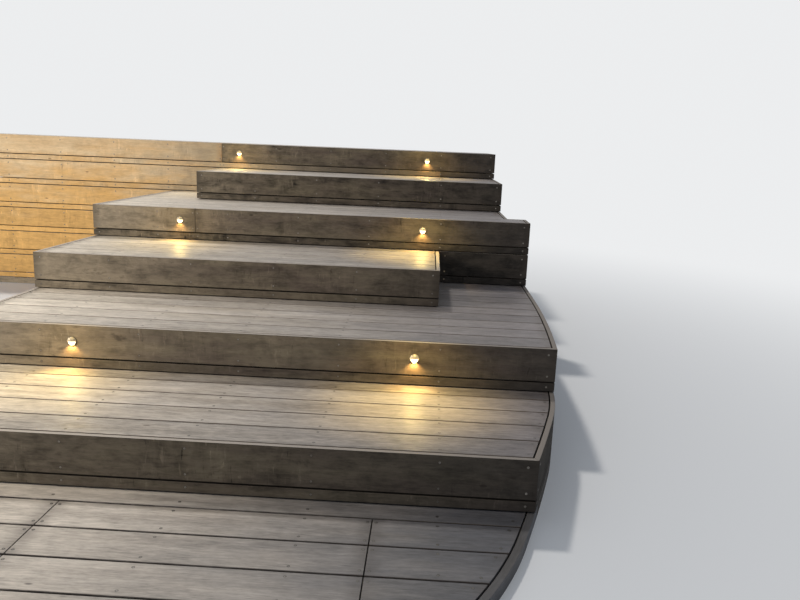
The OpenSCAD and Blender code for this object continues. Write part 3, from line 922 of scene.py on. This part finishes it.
def side_boards(level, x, y0, y1, inward):
    """A course of straight side boards from a mitred front end. inward is towards the inside."""
    return course(level, *upward_plan(y0, y0 + BOARD_T, y1, y1, x, inward))


for level in range(1, 5):
    cladding("left_side_%d" % level, side_boards(level, LEFT, RISER_Y[level], RISER_Y[6], BOARD_T))
cladding("block_left_side", side_boards(5, BLOCK_LEFT, RISER_Y[5], RISER_Y[6], BOARD_T))
cladding("block_right_side", side_boards(3, BLOCK_RIGHT, RISER_Y[3], RISER_Y[4], -BOARD_T))
BESIDE = low("riser_4_lower", 0)
y = RISER_Y[4]
plan = across_plan(BESIDE, BESIDE, right_end(4, y), right_end(4, y + BOARD_T, BOARD_T), y)
cladding("riser_4_lower", course(3, *plan, BLOCK_PAINTED_SHADE_TONE))
print("bent sides:", len(CURVE_FRONT), "courses")

# %% [markdown]
# ## Skirt, back and hidden sides
# The upper deck's skirt repeats the courses down to the lowest boards in a warmer tan, partly painted
# warm light. The back and the left end are clad the same way in the brown of the risers, and the right
# side behind the notch in the darker brown of the right side, which is painted shade.

# %% Make the skirt and the unseen sides
def skirt_plan(level):
    """Plan of a skirt board, from the left end of the deck to the stairs."""
    right = LEFT_SIDE.get(level, LEFT) + BOARD_T
    return across_plan(DECK_LEFT, DECK_LEFT + BOARD_T, right, right, RISER_Y[6])


COURSES = range(1, 7)
SKIRT_COURSES = range(1, 6)
piece("skirt_planks", [wide(k, *skirt_plan(k)) for k in SKIRT_COURSES], "skirt_wood", SKIRT_PAINTED_WARM_LIGHT,
      "deck_skirt_boards")
piece("skirt_strips", [strip(k, *skirt_plan(k)) for k in SKIRT_COURSES], "skirt_wood", SKIRT_PAINTED_WARM_LIGHT,
      "deck_skirt_strips")
inner_back = BACK_Y - BOARD_T
inner_notch = NOTCH_Y - BOARD_T
notch_x = float(side_x(NOTCH_Y))
end_plan = upward_plan(RISER_Y[6], RISER_Y[6] + BOARD_T, BACK_Y, inner_back, DECK_LEFT, BOARD_T)
notch_plan = across_plan(REAR_X, REAR_X - BOARD_T, notch_x, float(side_x(inner_notch, BOARD_T)),
                         NOTCH_Y, -BOARD_T)
back_plan = across_plan(DECK_LEFT, DECK_LEFT + BOARD_T, REAR_X, REAR_X - BOARD_T, BACK_Y, -BOARD_T)
notched_plan = upward_plan(NOTCH_Y, inner_notch, BACK_Y, inner_back, REAR_X, -BOARD_T)
rear_plans = {k: notched_plan for k in CURVE_FRONT}
for k in (5, 6):
    rear_plans[k] = upward_plan(RISER_Y[k], RISER_Y[k] + BOARD_T, BACK_Y, inner_back, REAR_X, -BOARD_T)
for name, node, wood_finish, plans in (
        ("deck_left_cladding", "deck_left_side", RISER, {k: end_plan for k in COURSES}),
        ("notch_cladding", "notch_boards", SIDE_PAINTED_SHADE, {k: notch_plan for k in CURVE_FRONT}),
        ("rear_side_cladding", "rear_side_boards", SIDE_PAINTED_SHADE, rear_plans),
        ("back_cladding", "back_boards", RISER, {k: back_plan for k in COURSES})):
    boards = [board for k, plan in plans.items() for board in course(k, *plan)]
    piece(name, boards, "riser_wood", wood_finish, node)
    print(name, len(boards), "boards")

# %% [markdown]
# The lowest boards stand on the floor below the side boards and are as high as the lower deck.

# %% Make the base boards
def square_along_y(y0, y1, x, inward):
    """Plan of a board along y with square ends."""
    return upward_plan(y0, y0, y1, y1, x, inward)


def square_along_x(x0, x1, y, inward=BOARD_T):
    """Plan of a board along x with square ends."""
    return across_plan(x0, x0, x1, x1, y, inward)


base_back = inner_back - JOINT_GAP
plans = (square_along_y(LOWER_BACK, RISER_Y[6] - JOINT_GAP, LEFT, BOARD_T),
         bent(side_run(LOWER_BACK, NOTCH_Y), side_run(LOWER_BACK, NOTCH_Y, BOARD_T)),
         square_along_x(REAR_X - BOARD_T, notch_x - BOARD_T - JOINT_GAP, NOTCH_Y, -BOARD_T),
         square_along_y(NOTCH_Y + JOINT_GAP, base_back, REAR_X, -BOARD_T),
         square_along_x(DECK_LEFT, REAR_X, BACK_Y, -BOARD_T),
         square_along_y(RISER_Y[6], base_back, DECK_LEFT, BOARD_T),
         square_along_x(DECK_LEFT + BOARD_T + JOINT_GAP, LEFT + BOARD_T, RISER_Y[6]))
piece("base_planks", [foot_board(*plan) for plan in plans], "riser_wood", RISER, "base_boards")
print("base:", len(plans), "boards")

# %% [markdown]
# ## Turned parts
# Screw heads and lights are turned: a profile of radii and heights is carried round an axis. Points
# on the axis fall together, so they are merged, and the signed volume tells whether the faces
# point outwards.

# %% Turn a profile
LIGHT_SIDES = 48
MERGE_DIGITS = 7


def spun(profile, sides=LIGHT_SIDES, turn=2 * math.pi, ring=False):
    """x = r cos t, y = r sin t, z = h for each (r, h) of the profile. With ring the profile is
    closed, and a part turn gets a face at each end."""
    radius, height = np.asarray(profile, float).T
    t = np.linspace(0.0, turn, sides + 1)[:, None]
    n = len(radius)
    points = np.dstack([radius * np.cos(t), radius * np.sin(t), np.broadcast_to(height, (sides + 1, n))])
    ends = [list(range(n)), list(range(sides * n, (sides + 1) * n))[::-1]] if ring else []
    return welded(points.reshape(-1, 3), bands_of_quads(n, sides + 1, ring) + ends)


def welded(points, faces):
    """Merges the points that fall together and turns the faces outwards: six times the volume is the
    sum of a.(b x c) over all triangles."""
    rounded = np.round(points, MERGE_DIGITS)
    _, first, same = np.unique(rounded, axis=0, return_index=True, return_inverse=True)
    same = same.ravel()
    faces = [list(dict.fromkeys(same[face].tolist())) for face in faces]
    faces = [face for face in faces if len(face) > 2]
    points = points[first]
    triangles = np.array([(f[0], f[i], f[i + 1]) for f in faces for i in range(1, len(f) - 1)])
    a, b, c = points[triangles].transpose(1, 0, 2)
    if np.sum(a * np.cross(b, c)) < 0:
        faces = [face[::-1] for face in faces]
    return {"points": points, "faces": faces, "place": points}


def arc(centre, radius, start, end, steps):
    """Points of an arc in the profile: centre + radius (cos a, sin a), with a in degrees."""
    a = np.radians(np.linspace(start, end, steps))
    return np.column_stack([centre[0] + radius * np.cos(a), centre[1] + radius * np.sin(a)]).tolist()


print("turned parts have", LIGHT_SIDES, "sides")

# %% [markdown]
# ## Lights
# Each light is a fitting in a bore: a bevelled rim lies against the board, a body fills the bore, a
# frosted lens sits in a pocket, and a hood covers the upper half of it, so that the light falls
# down the riser and over the tread. The hood is a thin dome that is turned only half way round.

# %% Turn the lights
RIM_R = 0.022
RIM_T = 0.002
BODY_R = 0.0167
BODY_DEPTH = 0.060
LENS_R = 0.0152
POCKET_R = 0.0155
POCKET = 0.003
LENS_SET = 0.0005
SKIN = 0.0012
HOOD_R = 0.0196
HOOD_OUT = 0.010
LIP = 0.0004
DOME_POINTS = 9
DOME_R = (HOOD_R ** 2 + HOOD_OUT ** 2) / (2 * HOOD_OUT)
DOME_DROP = DOME_R - HOOD_OUT


def dome(radius):
    """Arc of a dome's section from its foot on the rim to its top on the axis."""
    foot = math.degrees(math.asin(DOME_DROP / radius))
    return [[max(r, 0.0), h] for r, h in arc((0.0, RIM_T - DOME_DROP), radius, foot, 90.0, DOME_POINTS)]


POCKET_Z = RIM_T - POCKET
LENS_Z = RIM_T - LENS_SET
fitting = spun([[0.0, -BODY_DEPTH], [BODY_R - SKIN, -BODY_DEPTH], [BODY_R, SKIN - BODY_DEPTH],
                [BODY_R, 0.0], [RIM_R - LIP, 0.0], [RIM_R, LIP]]
               + arc((RIM_R - SKIN, RIM_T - SKIN), SKIN, 0.0, 90.0, 4)
               + [[POCKET_R + LIP, RIM_T], [POCKET_R, RIM_T - LIP], [POCKET_R, POCKET_Z], [0.0, POCKET_Z]])
hood = spun(dome(DOME_R) + dome(DOME_R - SKIN)[::-1], LIGHT_SIDES // 2, math.pi, True)
lens = spun([[0.0, POCKET_Z], [LENS_R, POCKET_Z], [LENS_R, LENS_Z - 2 * LIP],
             [LENS_R - LIP, LENS_Z - LIP], [LENS_R * 0.7, LENS_Z - LIP / 4], [0.0, LENS_Z]])


def fitted(part, place):
    """A turned part with its axis pointing forwards out of a riser: (x, y, z) goes to (x, -z, y)."""
    x, y, z = part["points"].T
    return dict(part, points=np.column_stack([x, -z, y]) + place)


print("lights:", len(LIGHTS), "of", round(RIM_R * 2000), "mm, hoods", round(HOOD_OUT * 1000), "mm out")

# %% [markdown]
# The metal is satin, turned in fine rings, dull where dust lies, and darkened round its outer edge with
# painted shade where the rim meets the board.
# A painted glow on the lower edge of the hood stands in for the light that spills over it.

# %% Finish the metal of the lights
METAL = (0.36, 0.33, 0.27, 1)
DUSTY = (0.22, 0.19, 0.145, 1)
RIM_PAINTED_SHADE = (0.08, 0.068, 0.05, 1)
NO_LIGHT = (0.0, 0.0, 0.0, 1)
PAINTED_SPILL_GLOW = (1.1, 0.72, 0.32, 1)
RINGS_PER_M = 2500.0
DUST_PER_M = 160.0
RIM_SHADE_W = 0.0024
satin, start = new_material("light_metal")
place = start.kept("place")
across = place.scaled(1.0, 1.0, 0.0).length()
rings = start.node("ShaderNodeCombineXYZ", None, {0: across}).scaled(RINGS_PER_M, 0.0, 0.0).noise(2.0)
dust = place.scaled(DUST_PER_M, DUST_PER_M, DUST_PER_M).noise(3.0)
shade = dust.step(-0.1, 0.2).over(METAL, DUSTY)
# Painted shade round the rim's outer edge, where it meets the board.
shade = across.step(RIM_R - RIM_SHADE_W, RIM_R - SKIN).over(shade, RIM_PAINTED_SHADE)
on_hood = place.part("Z").step(RIM_T, RIM_T + SKIN)
# A painted glow on the hood's lower edge, in place of light from the lens.
painted_spill = (place.part("Y").step(0.007, -0.001) * on_hood).over(NO_LIGHT, PAINTED_SPILL_GLOW)
finish(start, {"Base Color": shade, "Metallic": 0.55, "Roughness": 0.55 + rings * 0.2 + dust * 0.2,
               "Emission Color": painted_spill, "Emission Strength": 1.0})
fittings = [fitted(part, at) for at in LIGHTS for part in (fitting, hood)]
piece("light_fittings", fittings, "light_metal", satin, "light_bodies")
print("fittings:", len(fittings) // 2, "in", satin.name)

# %% [markdown]
# The lens glows more in its lower half, where no hood covers it.

# %% Finish the lenses
LENS_PAINT = (0.9, 0.84, 0.7, 1)
DIM_GLOW = (1.0, 0.62, 0.25, 1)
FULL_GLOW = (9.0, 6.6, 3.6, 1)
glow, start = new_material("light_lens")
shine = start.kept("place").part("Y").step(0.004, -0.006).over(DIM_GLOW, FULL_GLOW)
finish(start, {"Base Color": LENS_PAINT, "Roughness": 0.35, "Emission Color": shine,
               "Emission Strength": 1.0})
piece("light_glasses", [fitted(lens, at) for at in LIGHTS], "lens", glow, "light_lenses")
print("lenses glow up to", FULL_GLOW[0])

# %% [markdown]
# ## Screws
# Every board is fixed with stainless screws, a pair on each joist line of a tread and three in a
# column on each riser. They are all one turned head, set out from arrays of places and directions.
# Round each head lies a narrow dark ring, which is painted shade of the countersink.

# %% Turn a screw head
HEAD_SIDES = 8
HEAD_R = 0.0035
RING_R = 0.0052
SOCKET_R = 0.0014
SOCKET_DEPTH = 0.0008
SOCKET_EDGE = 0.00005
HEAD_EDGE = 0.00015
RING_DOWN = 0.00022
HEAD_FOOT = -2 * SOCKET_DEPTH
HEAD_SHARP = math.radians(50)
head = spun([[0.0, -SOCKET_DEPTH], [SOCKET_R, -SOCKET_DEPTH], [SOCKET_R, -SOCKET_EDGE],
             [HEAD_R * 0.8, 0.0], [HEAD_R, -HEAD_EDGE], [RING_R, -RING_DOWN], [RING_R, HEAD_FOOT],
             [0.0, HEAD_FOOT]], HEAD_SIDES)


def heads(places, facing):
    """Copies of the head at many places: p + x u + y v + z n, where n is the way that each one faces,
    u lies level and v lies up, or along y on a flat board, and each head is turned by chance."""
    places = np.asarray(places, float).reshape(-1, 3)
    n = np.broadcast_to(np.asarray(facing, float), places.shape)
    flat = n[:, 2:] > 0
    u = np.where(flat, (1.0, 0.0, 0.0), np.column_stack([-n[:, 1], n[:, 0], n[:, 2] * 0]))
    v = np.where(flat, (0.0, 1.0, 0.0), (0.0, 0.0, 1.0))
    turn = rng.uniform(0.0, 2 * math.pi, (len(places), 1))
    x, y, z = head["points"].T
    x, y = x * np.cos(turn) - y * np.sin(turn), x * np.sin(turn) + y * np.cos(turn)
    points = (places[:, None] + x[..., None] * u[:, None] + y[..., None] * v[:, None]
              + z[:, None] * n[:, None])
    count = len(head["points"])
    faces = [[i * count + v for v in face] for i in range(len(places)) for face in head["faces"]]
    return {"points": points.reshape(-1, 3), "faces": faces,
            "place": np.tile(head["place"], (len(places), 1))}


def screws(name, metal, groups):
    """One piece from groups of screw heads."""
    piece(name, groups, "light_metal", metal, sharp=HEAD_SHARP)
    print(name, sum(len(group["points"]) for group in groups) // len(head["points"]), "heads")


print("a screw head has", len(head["faces"]), "faces")

# %% [markdown]
# The heads on the upright boards are lighter, a painted highlight of the light that they catch. Those on
# the treads are darker, partly with dirt and partly with painted shade.

# %% Finish the screws
PATCHES_PER_M = 9.0


def screw_metal(name, metal, dirt_and_recess_shade):
    """Steel with a dark socket and a dark ring round it, both painted shade of the recesses, and a little
    dirt.
    """
    material, start = new_material(name)
    across = start.kept("place").scaled(1.0, 1.0, 0.0).length()
    patch = start.on_object().scaled(PATCHES_PER_M, PATCHES_PER_M, PATCHES_PER_M).noise(2.0)
    # Outside the bare steel, the socket and the ring round the head get painted shade.
    bare = across.step(SOCKET_R, SOCKET_R * 1.2) * across.step(HEAD_R * 1.02, HEAD_R * 0.95)
    colour = (bare * (0.9 + patch * 2.0)).over(dirt_and_recess_shade, metal)
    finish(start, {"Base Color": colour, "Metallic": bare * 0.8, "Roughness": 0.4 + patch * 0.3})
    return material


# Lighter heads on upright boards are a painted highlight; darker ones on treads are partly dirt and partly
# painted shade.
SCREW_PAINTED_HIGHLIGHT = screw_metal("screw_bright", (0.34, 0.32, 0.29, 1), (0.05, 0.04, 0.03, 1))
SCREW_DIRT_AND_PAINTED_SHADE = screw_metal("screw_dull", (0.15, 0.14, 0.125, 1), (0.016, 0.013, 0.011, 1))
print("screw finishes:", SCREW_PAINTED_HIGHLIGHT.name, SCREW_DIRT_AND_PAINTED_SHADE.name)

# %% [markdown]
# The screws stand over the joists, the rims and the studs, which are the only places where they
# hold. At the right side they follow the curve.

# %% Set out the screws of the treads
RIM_IN = 0.0415
PAIR_IN = 0.0235
LOWER_PAIR_IN = 0.022
FIRST_ROW_IN = 0.055
BENT_EDGE_IN = EDGE_T + RIM_IN
OUTER_BY = 0.008
END_IN = 0.0135
END_CLEAR = 0.09
SAME_LINE = 0.01
UP = (0.0, 0.0, 1.0)


def columns(x0, x1, clear=END_CLEAR):
    """Joist lines between two ends, clear of them."""
    lines = JOIST_X + JOIST_RUN * np.arange(-5, 6)
    return lines[(lines > x0 + clear) & (lines < x1 - clear)].tolist()


def tread_screws(level):
    """A pair in every board on each joist line, with two pairs at an end joint."""
    left = LEFT_SIDE.get(level, LEFT) + RIM_IN
    places = []
    for y0, y1 in rows(level):
        if y1 - y0 < 3 * PAIR_IN:
            continue
        lines = [left] + columns(left, right_end(level, y0, RIM_IN))
        if level == 5:
            lines = [x for x in lines if abs(x - FAR_JOINT) > SAME_LINE]
            lines += [FAR_JOINT - END_IN, FAR_JOINT + END_IN]
        places += [(x, y, LEVEL_Z[level]) for x in lines for y in (y0 + PAIR_IN, y1 - PAIR_IN)]
        places += [(right_end(level, y, RIM_IN), y, LEVEL_Z[level]) for y in (y0 + PAIR_IN, y1 - PAIR_IN)]
    return places


def lower_screws(row):
    """The pairs of one row of the lower deck, beside its end joints too."""
    y0 = lower_y(row)
    pair = [y0 + LOWER_PAIR_IN, y0 + LOWER_BOARD_W - LOWER_PAIR_IN]
    ys = [RISER_Y[1] - FIRST_ROW_IN] if row == 0 else pair
    joints = lower_cuts(row)
    lines = [LEFT + BENT_EDGE_IN] + [x + side for x in joints for side in (-END_IN, END_IN)]
    reach = float(side_x(y0, BENT_EDGE_IN))
    lines += [x for x in columns(LEFT, reach) if all(abs(x - joint) > END_CLEAR for joint in joints)]
    last = [(float(side_x(y, BENT_EDGE_IN - OUTER_BY)), y, LEVEL_Z[0]) for y in ys]
    return [(x, y, LEVEL_Z[0]) for x in lines for y in ys] + last


screws("tread_screws", SCREW_DIRT_AND_PAINTED_SHADE, [heads([at for level in TREADS for at in tread_screws(level)], UP)])
lower_places = [at for row in range(LOWER_ROWS + 1) for at in lower_screws(row)]
screws("lower_deck_screws", SCREW_DIRT_AND_PAINTED_SHADE, [heads(lower_places, UP)])

# %% [markdown]
# On an upright course there is a screw near the top and the bottom of the wide board and one in the
# middle of the strip.

# %% Set out the screws of the upright boards
TOP_IN = 0.026
FOOT_IN = 0.023
CORNER_IN = 0.034
CORNER_CLEAR = 0.16
JOINT_CLEAR = 0.03
FRONTWARD = (0.0, -1.0, 0.0)
RISER_JOINTS = {4: [RISER_4_JOINT], 6: [JOIST_X]}


def course_z(level):
    """Heights of the screws of a course."""
    top = LEVEL_Z[level]
    return [top - TOP_IN, top - FASCIA_W + FOOT_IN, LEVEL_Z[level - 1] + GAP + STRIP_W / 2]


def front_screws(level, x0, x1, y, joints=()):
    """Screws of a course that faces forwards, on the joist lines and beside its end joints."""
    lines = [x0 + CORNER_IN, x1 - CORNER_IN] + columns(x0, x1, CORNER_CLEAR)
    lines = [x for x in lines if all(abs(x - joint) > JOINT_CLEAR for joint in joints)]
    lines += [joint + side for joint in joints for side in (-END_IN, END_IN)]
    return [(x, y, z) for x in lines for z in course_z(level)]


places = []
for k in COURSES:
    ends = (LEFT_SIDE.get(k, LEFT), right_end(k, RISER_Y[k]))
    places += front_screws(k, *ends, RISER_Y[k], RISER_JOINTS.get(k, ()))
places += front_screws(3, BESIDE, right_end(4, RISER_Y[4]), RISER_Y[4])
for k in SKIRT_COURSES:
    places += front_screws(k, DECK_LEFT, LEFT_SIDE.get(k, LEFT), RISER_Y[6])
screws("riser_screws", SCREW_PAINTED_HIGHLIGHT, [heads(places, FRONTWARD)])

# %% [markdown]
# The side boards have a column at each end and others between, as evenly spaced as they go. On the
# bent boards each head faces square out of the curve.

# %% Set out the screws of the sides and the back
SIDE_RUN = 0.45
LEFTWARD = (-1.0, 0.0, 0.0)
RIGHTWARD = (1.0, 0.0, 0.0)
BACKWARD = (0.0, 1.0, 0.0)


def spots(y0, y1):
    """Even places along a side, about SIDE_RUN apart."""
    return np.linspace(y0 + CORNER_IN, y1 - CORNER_IN, max(2, round((y1 - y0) / SIDE_RUN) + 1))


def along_y(level, x, y0, y1):
    """Screws of a straight course that faces sideways."""
    return [(x, y, z) for y in spots(y0, y1) for z in course_z(level)]


left_places = [at for k in range(1, 5) for at in along_y(k, LEFT, RISER_Y[k], RISER_Y[6])]
left_places += along_y(5, BLOCK_LEFT, RISER_Y[5], RISER_Y[6])
left_places += [at for k in COURSES for at in along_y(k, DECK_LEFT, RISER_Y[6], BACK_Y)]
right_places = along_y(3, BLOCK_RIGHT, RISER_Y[3], RISER_Y[4])
right_places += [at for k in COURSES for at in along_y(k, REAR_X, max(NOTCH_Y, RISER_Y[k]), BACK_Y)]
back_places = [at for k in COURSES for at in front_screws(k, DECK_LEFT, REAR_X, BACK_Y)]


def curve_screws(level, y0):
    """Places and directions of the screws on the bent boards of a course. The curve's outward normal
    is (dy, -dx) over its length."""
    ys = spots(y0, NOTCH_Y)
    slope = (side_x(ys + NEARBY) - side_x(ys - NEARBY)) / (2 * NEARBY)
    facing = np.column_stack([np.ones_like(slope), -slope, np.zeros_like(slope)])
    facing /= np.linalg.norm(facing, axis=1)[:, None]
    heights = course_z(level)
    places = [(float(side_x(y)), y, z) for y in ys for z in heights]
    return places, np.repeat(facing, len(heights), axis=0)


bent_heads = [heads(*curve_screws(level, y)) for level, y in CURVE_FRONT.items()]
straight_heads = [heads(left_places, LEFTWARD), heads(right_places, RIGHTWARD)]
screws("side_screws", SCREW_PAINTED_HIGHLIGHT, straight_heads + bent_heads)
screws("back_screws", SCREW_PAINTED_HIGHLIGHT, [heads(back_places, BACKWARD)])

# %% [markdown]
# ## Frame
# The framing can only be seen through the gaps, so the model's own solids stay. They get plain sawn
# timber, dark enough that the gaps read as black, which is painted shade, with the grain along the
# way that each node's timbers run.

# %% Finish the carried-over nodes
GRAIN_AXIS = {node.replace("boards", "frame"): "Y" for node in TREADS.values()}
GRAIN_AXIS.update({"lower_deck_battens": "Y", "bearers": "X", "posts": "Z"})
for node, axis in GRAIN_AXIS.items():
    mesh = frame["nodes"][node].data
    mesh.materials.clear()
    mesh.materials.append(FRAME_PAINTED_GAP_SHADE[axis])
print(len(GRAIN_AXIS), "nodes keep their own solids")

# %% [markdown]
# ## Floor and background
# A wide pale floor catches the shadows. It fades to the pale backdrop with distance for the camera
# alone, so there is no hard horizon, while the light on the object stays as it is.

# %% Make the floor
FLOOR_HALF = 60.0
FLOOR_PAINT = (0.86, 0.86, 0.86, 1)
FADE_FROM = 1.5
FADE_TO = 7.0
BACKDROP = (0.84, 0.85, 0.86, 1)
floor_mesh = bpy.data.meshes.new("floor")
corners = straight(-FLOOR_HALF, FLOOR_HALF, -FLOOR_HALF, FLOOR_HALF)
floor_mesh.from_pydata([(x, y, 0.0) for x, y in corners], [], [(0, 1, 2, 3)])
floor = placed("floor", floor_mesh)
floor_paint, start = new_material("floor_paint")
far = start.on_object().length().step(FADE_FROM, FADE_TO)
seen = start.node("ShaderNodeLightPath", None, None, "Is Camera Ray")
matt = start.node("ShaderNodeBsdfDiffuse", None, {"Color": FLOOR_PAINT})
blank = start.node("ShaderNodeEmission", None, {"Color": BACKDROP, "Strength": 1.0})
mixed = start.node("ShaderNodeMixShader", None, {0: far * seen, 1: matt, 2: blank})
start.node("ShaderNodeOutputMaterial", None, {"Surface": mixed})
floor_mesh.materials.append(floor_paint)
print("floor of", 2 * FLOOR_HALF, "m, as pale as the backdrop beyond", FADE_TO, "m")

# %% [markdown]
# The world gives a soft even fill, and is the pale backdrop where the camera, metal or glass see it.

# %% Make the world
FILL = (0.80, 0.88, 1.0, 1)
FILL_STRENGTH = 0.34
world = bpy.data.worlds.new("studio")
bpy.context.scene.world = world
world.use_nodes = True
world.node_tree.nodes.clear()
sky = Signal(world.node_tree)
rays = [sky.node("ShaderNodeLightPath", None, None, ray)
        for ray in ("Is Camera Ray", "Is Glossy Ray", "Is Transmission Ray")]
seen = rays[0].maths("MAXIMUM", rays[1]).maths("MAXIMUM", rays[2])
fill = sky.node("ShaderNodeBackground", None, {"Color": FILL, "Strength": FILL_STRENGTH})
pale = sky.node("ShaderNodeBackground", None, {"Color": BACKDROP, "Strength": 1.0})
mixed = sky.node("ShaderNodeMixShader", None, {0: seen, 1: fill, 2: pale})
sky.node("ShaderNodeOutputWorld", None, {"Surface": mixed})
print("soft fill of", FILL_STRENGTH)

# %% [markdown]
# ## Lamps
# A soft key lamp high behind the stairs leaves a narrow shadow under each riser. A warm lamp low on
# the left lights the risers and the skirt, and falls off to the right. It's so near that it would
# leave a bright spot on the floor, so light linking keeps the floor out of its light.

# %% Hang the key and the side lamp
KEY_AT = (-2.2, 5.2, 11.0)
KEY_TO = (0.8, -0.4, 0.4)
KEY_WATTS = 650.0
KEY_COLOUR = (1.0, 0.965, 0.91)
KEY_SIZE = 1.0
SIDE_AT = (-3.0, -2.2, 2.3)
SIDE_TO = (0.3, 0.8, 0.6)
SIDE_WATTS = 192.0
SIDE_COLOUR = (1.0, 0.88, 0.72)
SIDE_SIZE = 1.2


def lamp(name, kind, at, to, watts, colour, **settings):
    """A lamp at one point that looks at another, and isn't seen itself."""
    data = bpy.data.lights.new(name, kind)
    data.energy = watts
    data.color = colour
    for key, value in settings.items():
        setattr(data, key, value)
    made = placed(name, data)
    made.location = at
    made.rotation_mode = "QUATERNION"
    made.rotation_quaternion = (Vector(to) - Vector(at)).to_track_quat("-Z", "Y")
    made.visible_camera = False
    return made


def link_light(name, lamps, objects, state):
    """With INCLUDE the lamps light these objects alone, and with EXCLUDE all others."""
    group = bpy.data.collections.new(name)
    for made in objects:
        group.objects.link(made)
    for entry in group.collection_objects:
        entry.light_linking.link_state = state
    for made in lamps:
        made.light_linking.receiver_collection = group


lamp("key", "AREA", KEY_AT, KEY_TO, KEY_WATTS, KEY_COLOUR, size=KEY_SIZE)
side = lamp("side", "AREA", SIDE_AT, SIDE_TO, SIDE_WATTS, SIDE_COLOUR, size=SIDE_SIZE)
link_light("not_lit_by_side_lamp", [side], [floor], "EXCLUDE")
print("key lamp of", KEY_WATTS, "W and side lamp of", SIDE_WATTS, "W")

# %% [markdown]
# At each of the stairs' own lights three small lamps stand in for the glowing lens: a soft pool from
# above, a fan from the lens over the nearest boards, and the glow on the board below it. No pool
# lights the boards of the level above it, and the pool beside the block step's end may only light the
# block, because these would spill over an edge, which light from the low lens can't.

# %% Hang the small lamps
WARM = (1.0, 0.72, 0.22)
AMBER = (1.0, 0.55, 0.16)
POOL_OUT = 0.20
POOL_UP = 0.50
POOL_WATTS = (8.0, 21.0, 6.5, 29.0, 10.0, 20.0)
POOL_SPOT = {"spot_size": math.radians(96), "spot_blend": 1.0, "shadow_soft_size": 0.03}
LENS_FRONT = 0.014
LENS_BELOW = 0.006
AIM_DOWN = 0.10
FAN_OUT = 0.14
FAN_WATTS = 1.5
FAN_SPOT = {"spot_size": math.radians(125), "spot_blend": 0.7, "shadow_soft_size": 0.008}
GLOW_OUT = 0.012
GLOW_WATTS = (0.8, 2.0)
GLOW_SPOT = {"spot_size": math.radians(120), "spot_blend": 0.8, "shadow_soft_size": 0.004}
BLOCK_POOL = 3
ON_BLOCK = ("step_3_treads", "riser_3_cladding", "block_right_side_cladding", "riser_4_cladding",
            "light_fittings", "tread_screws", "riser_screws")
pools = []
for i, (x, y, z) in enumerate(LIGHTS):
    tread = z + LIGHT_DROP - (LEVEL_Z[2] - LEVEL_Z[1])
    above = (x, y - POOL_OUT, tread + POOL_UP)
    below = (x, y - POOL_OUT, tread)
    pools.append(lamp("pool_%d" % i, "SPOT", above, below, POOL_WATTS[i], WARM, **POOL_SPOT))
    front = (x, y - LENS_FRONT, z - LENS_BELOW)
    lamp("fan_%d" % i, "SPOT", front, (x, y - FAN_OUT, z - AIM_DOWN), FAN_WATTS, WARM, **FAN_SPOT)
    lamp("glow_%d" % i, "SPOT", front, (x, y - GLOW_OUT, z - AIM_DOWN), GLOW_WATTS[i % 2], AMBER,
         **GLOW_SPOT)
for i, boards in enumerate(("landing_2_treads", "landing_4_treads", "upper_deck_treads")):
    link_light("not_lit_below_" + boards, pools[2 * i:2 * i + 2], [bpy.data.objects[boards]], "EXCLUDE")
link_light("lit_by_block_pool", [pools[BLOCK_POOL]], [bpy.data.objects[name] for name in ON_BLOCK],
           "INCLUDE")
bpy.context.scene.view_settings.view_transform = "Standard"
print("lamps:", 2 + 3 * len(LIGHTS))
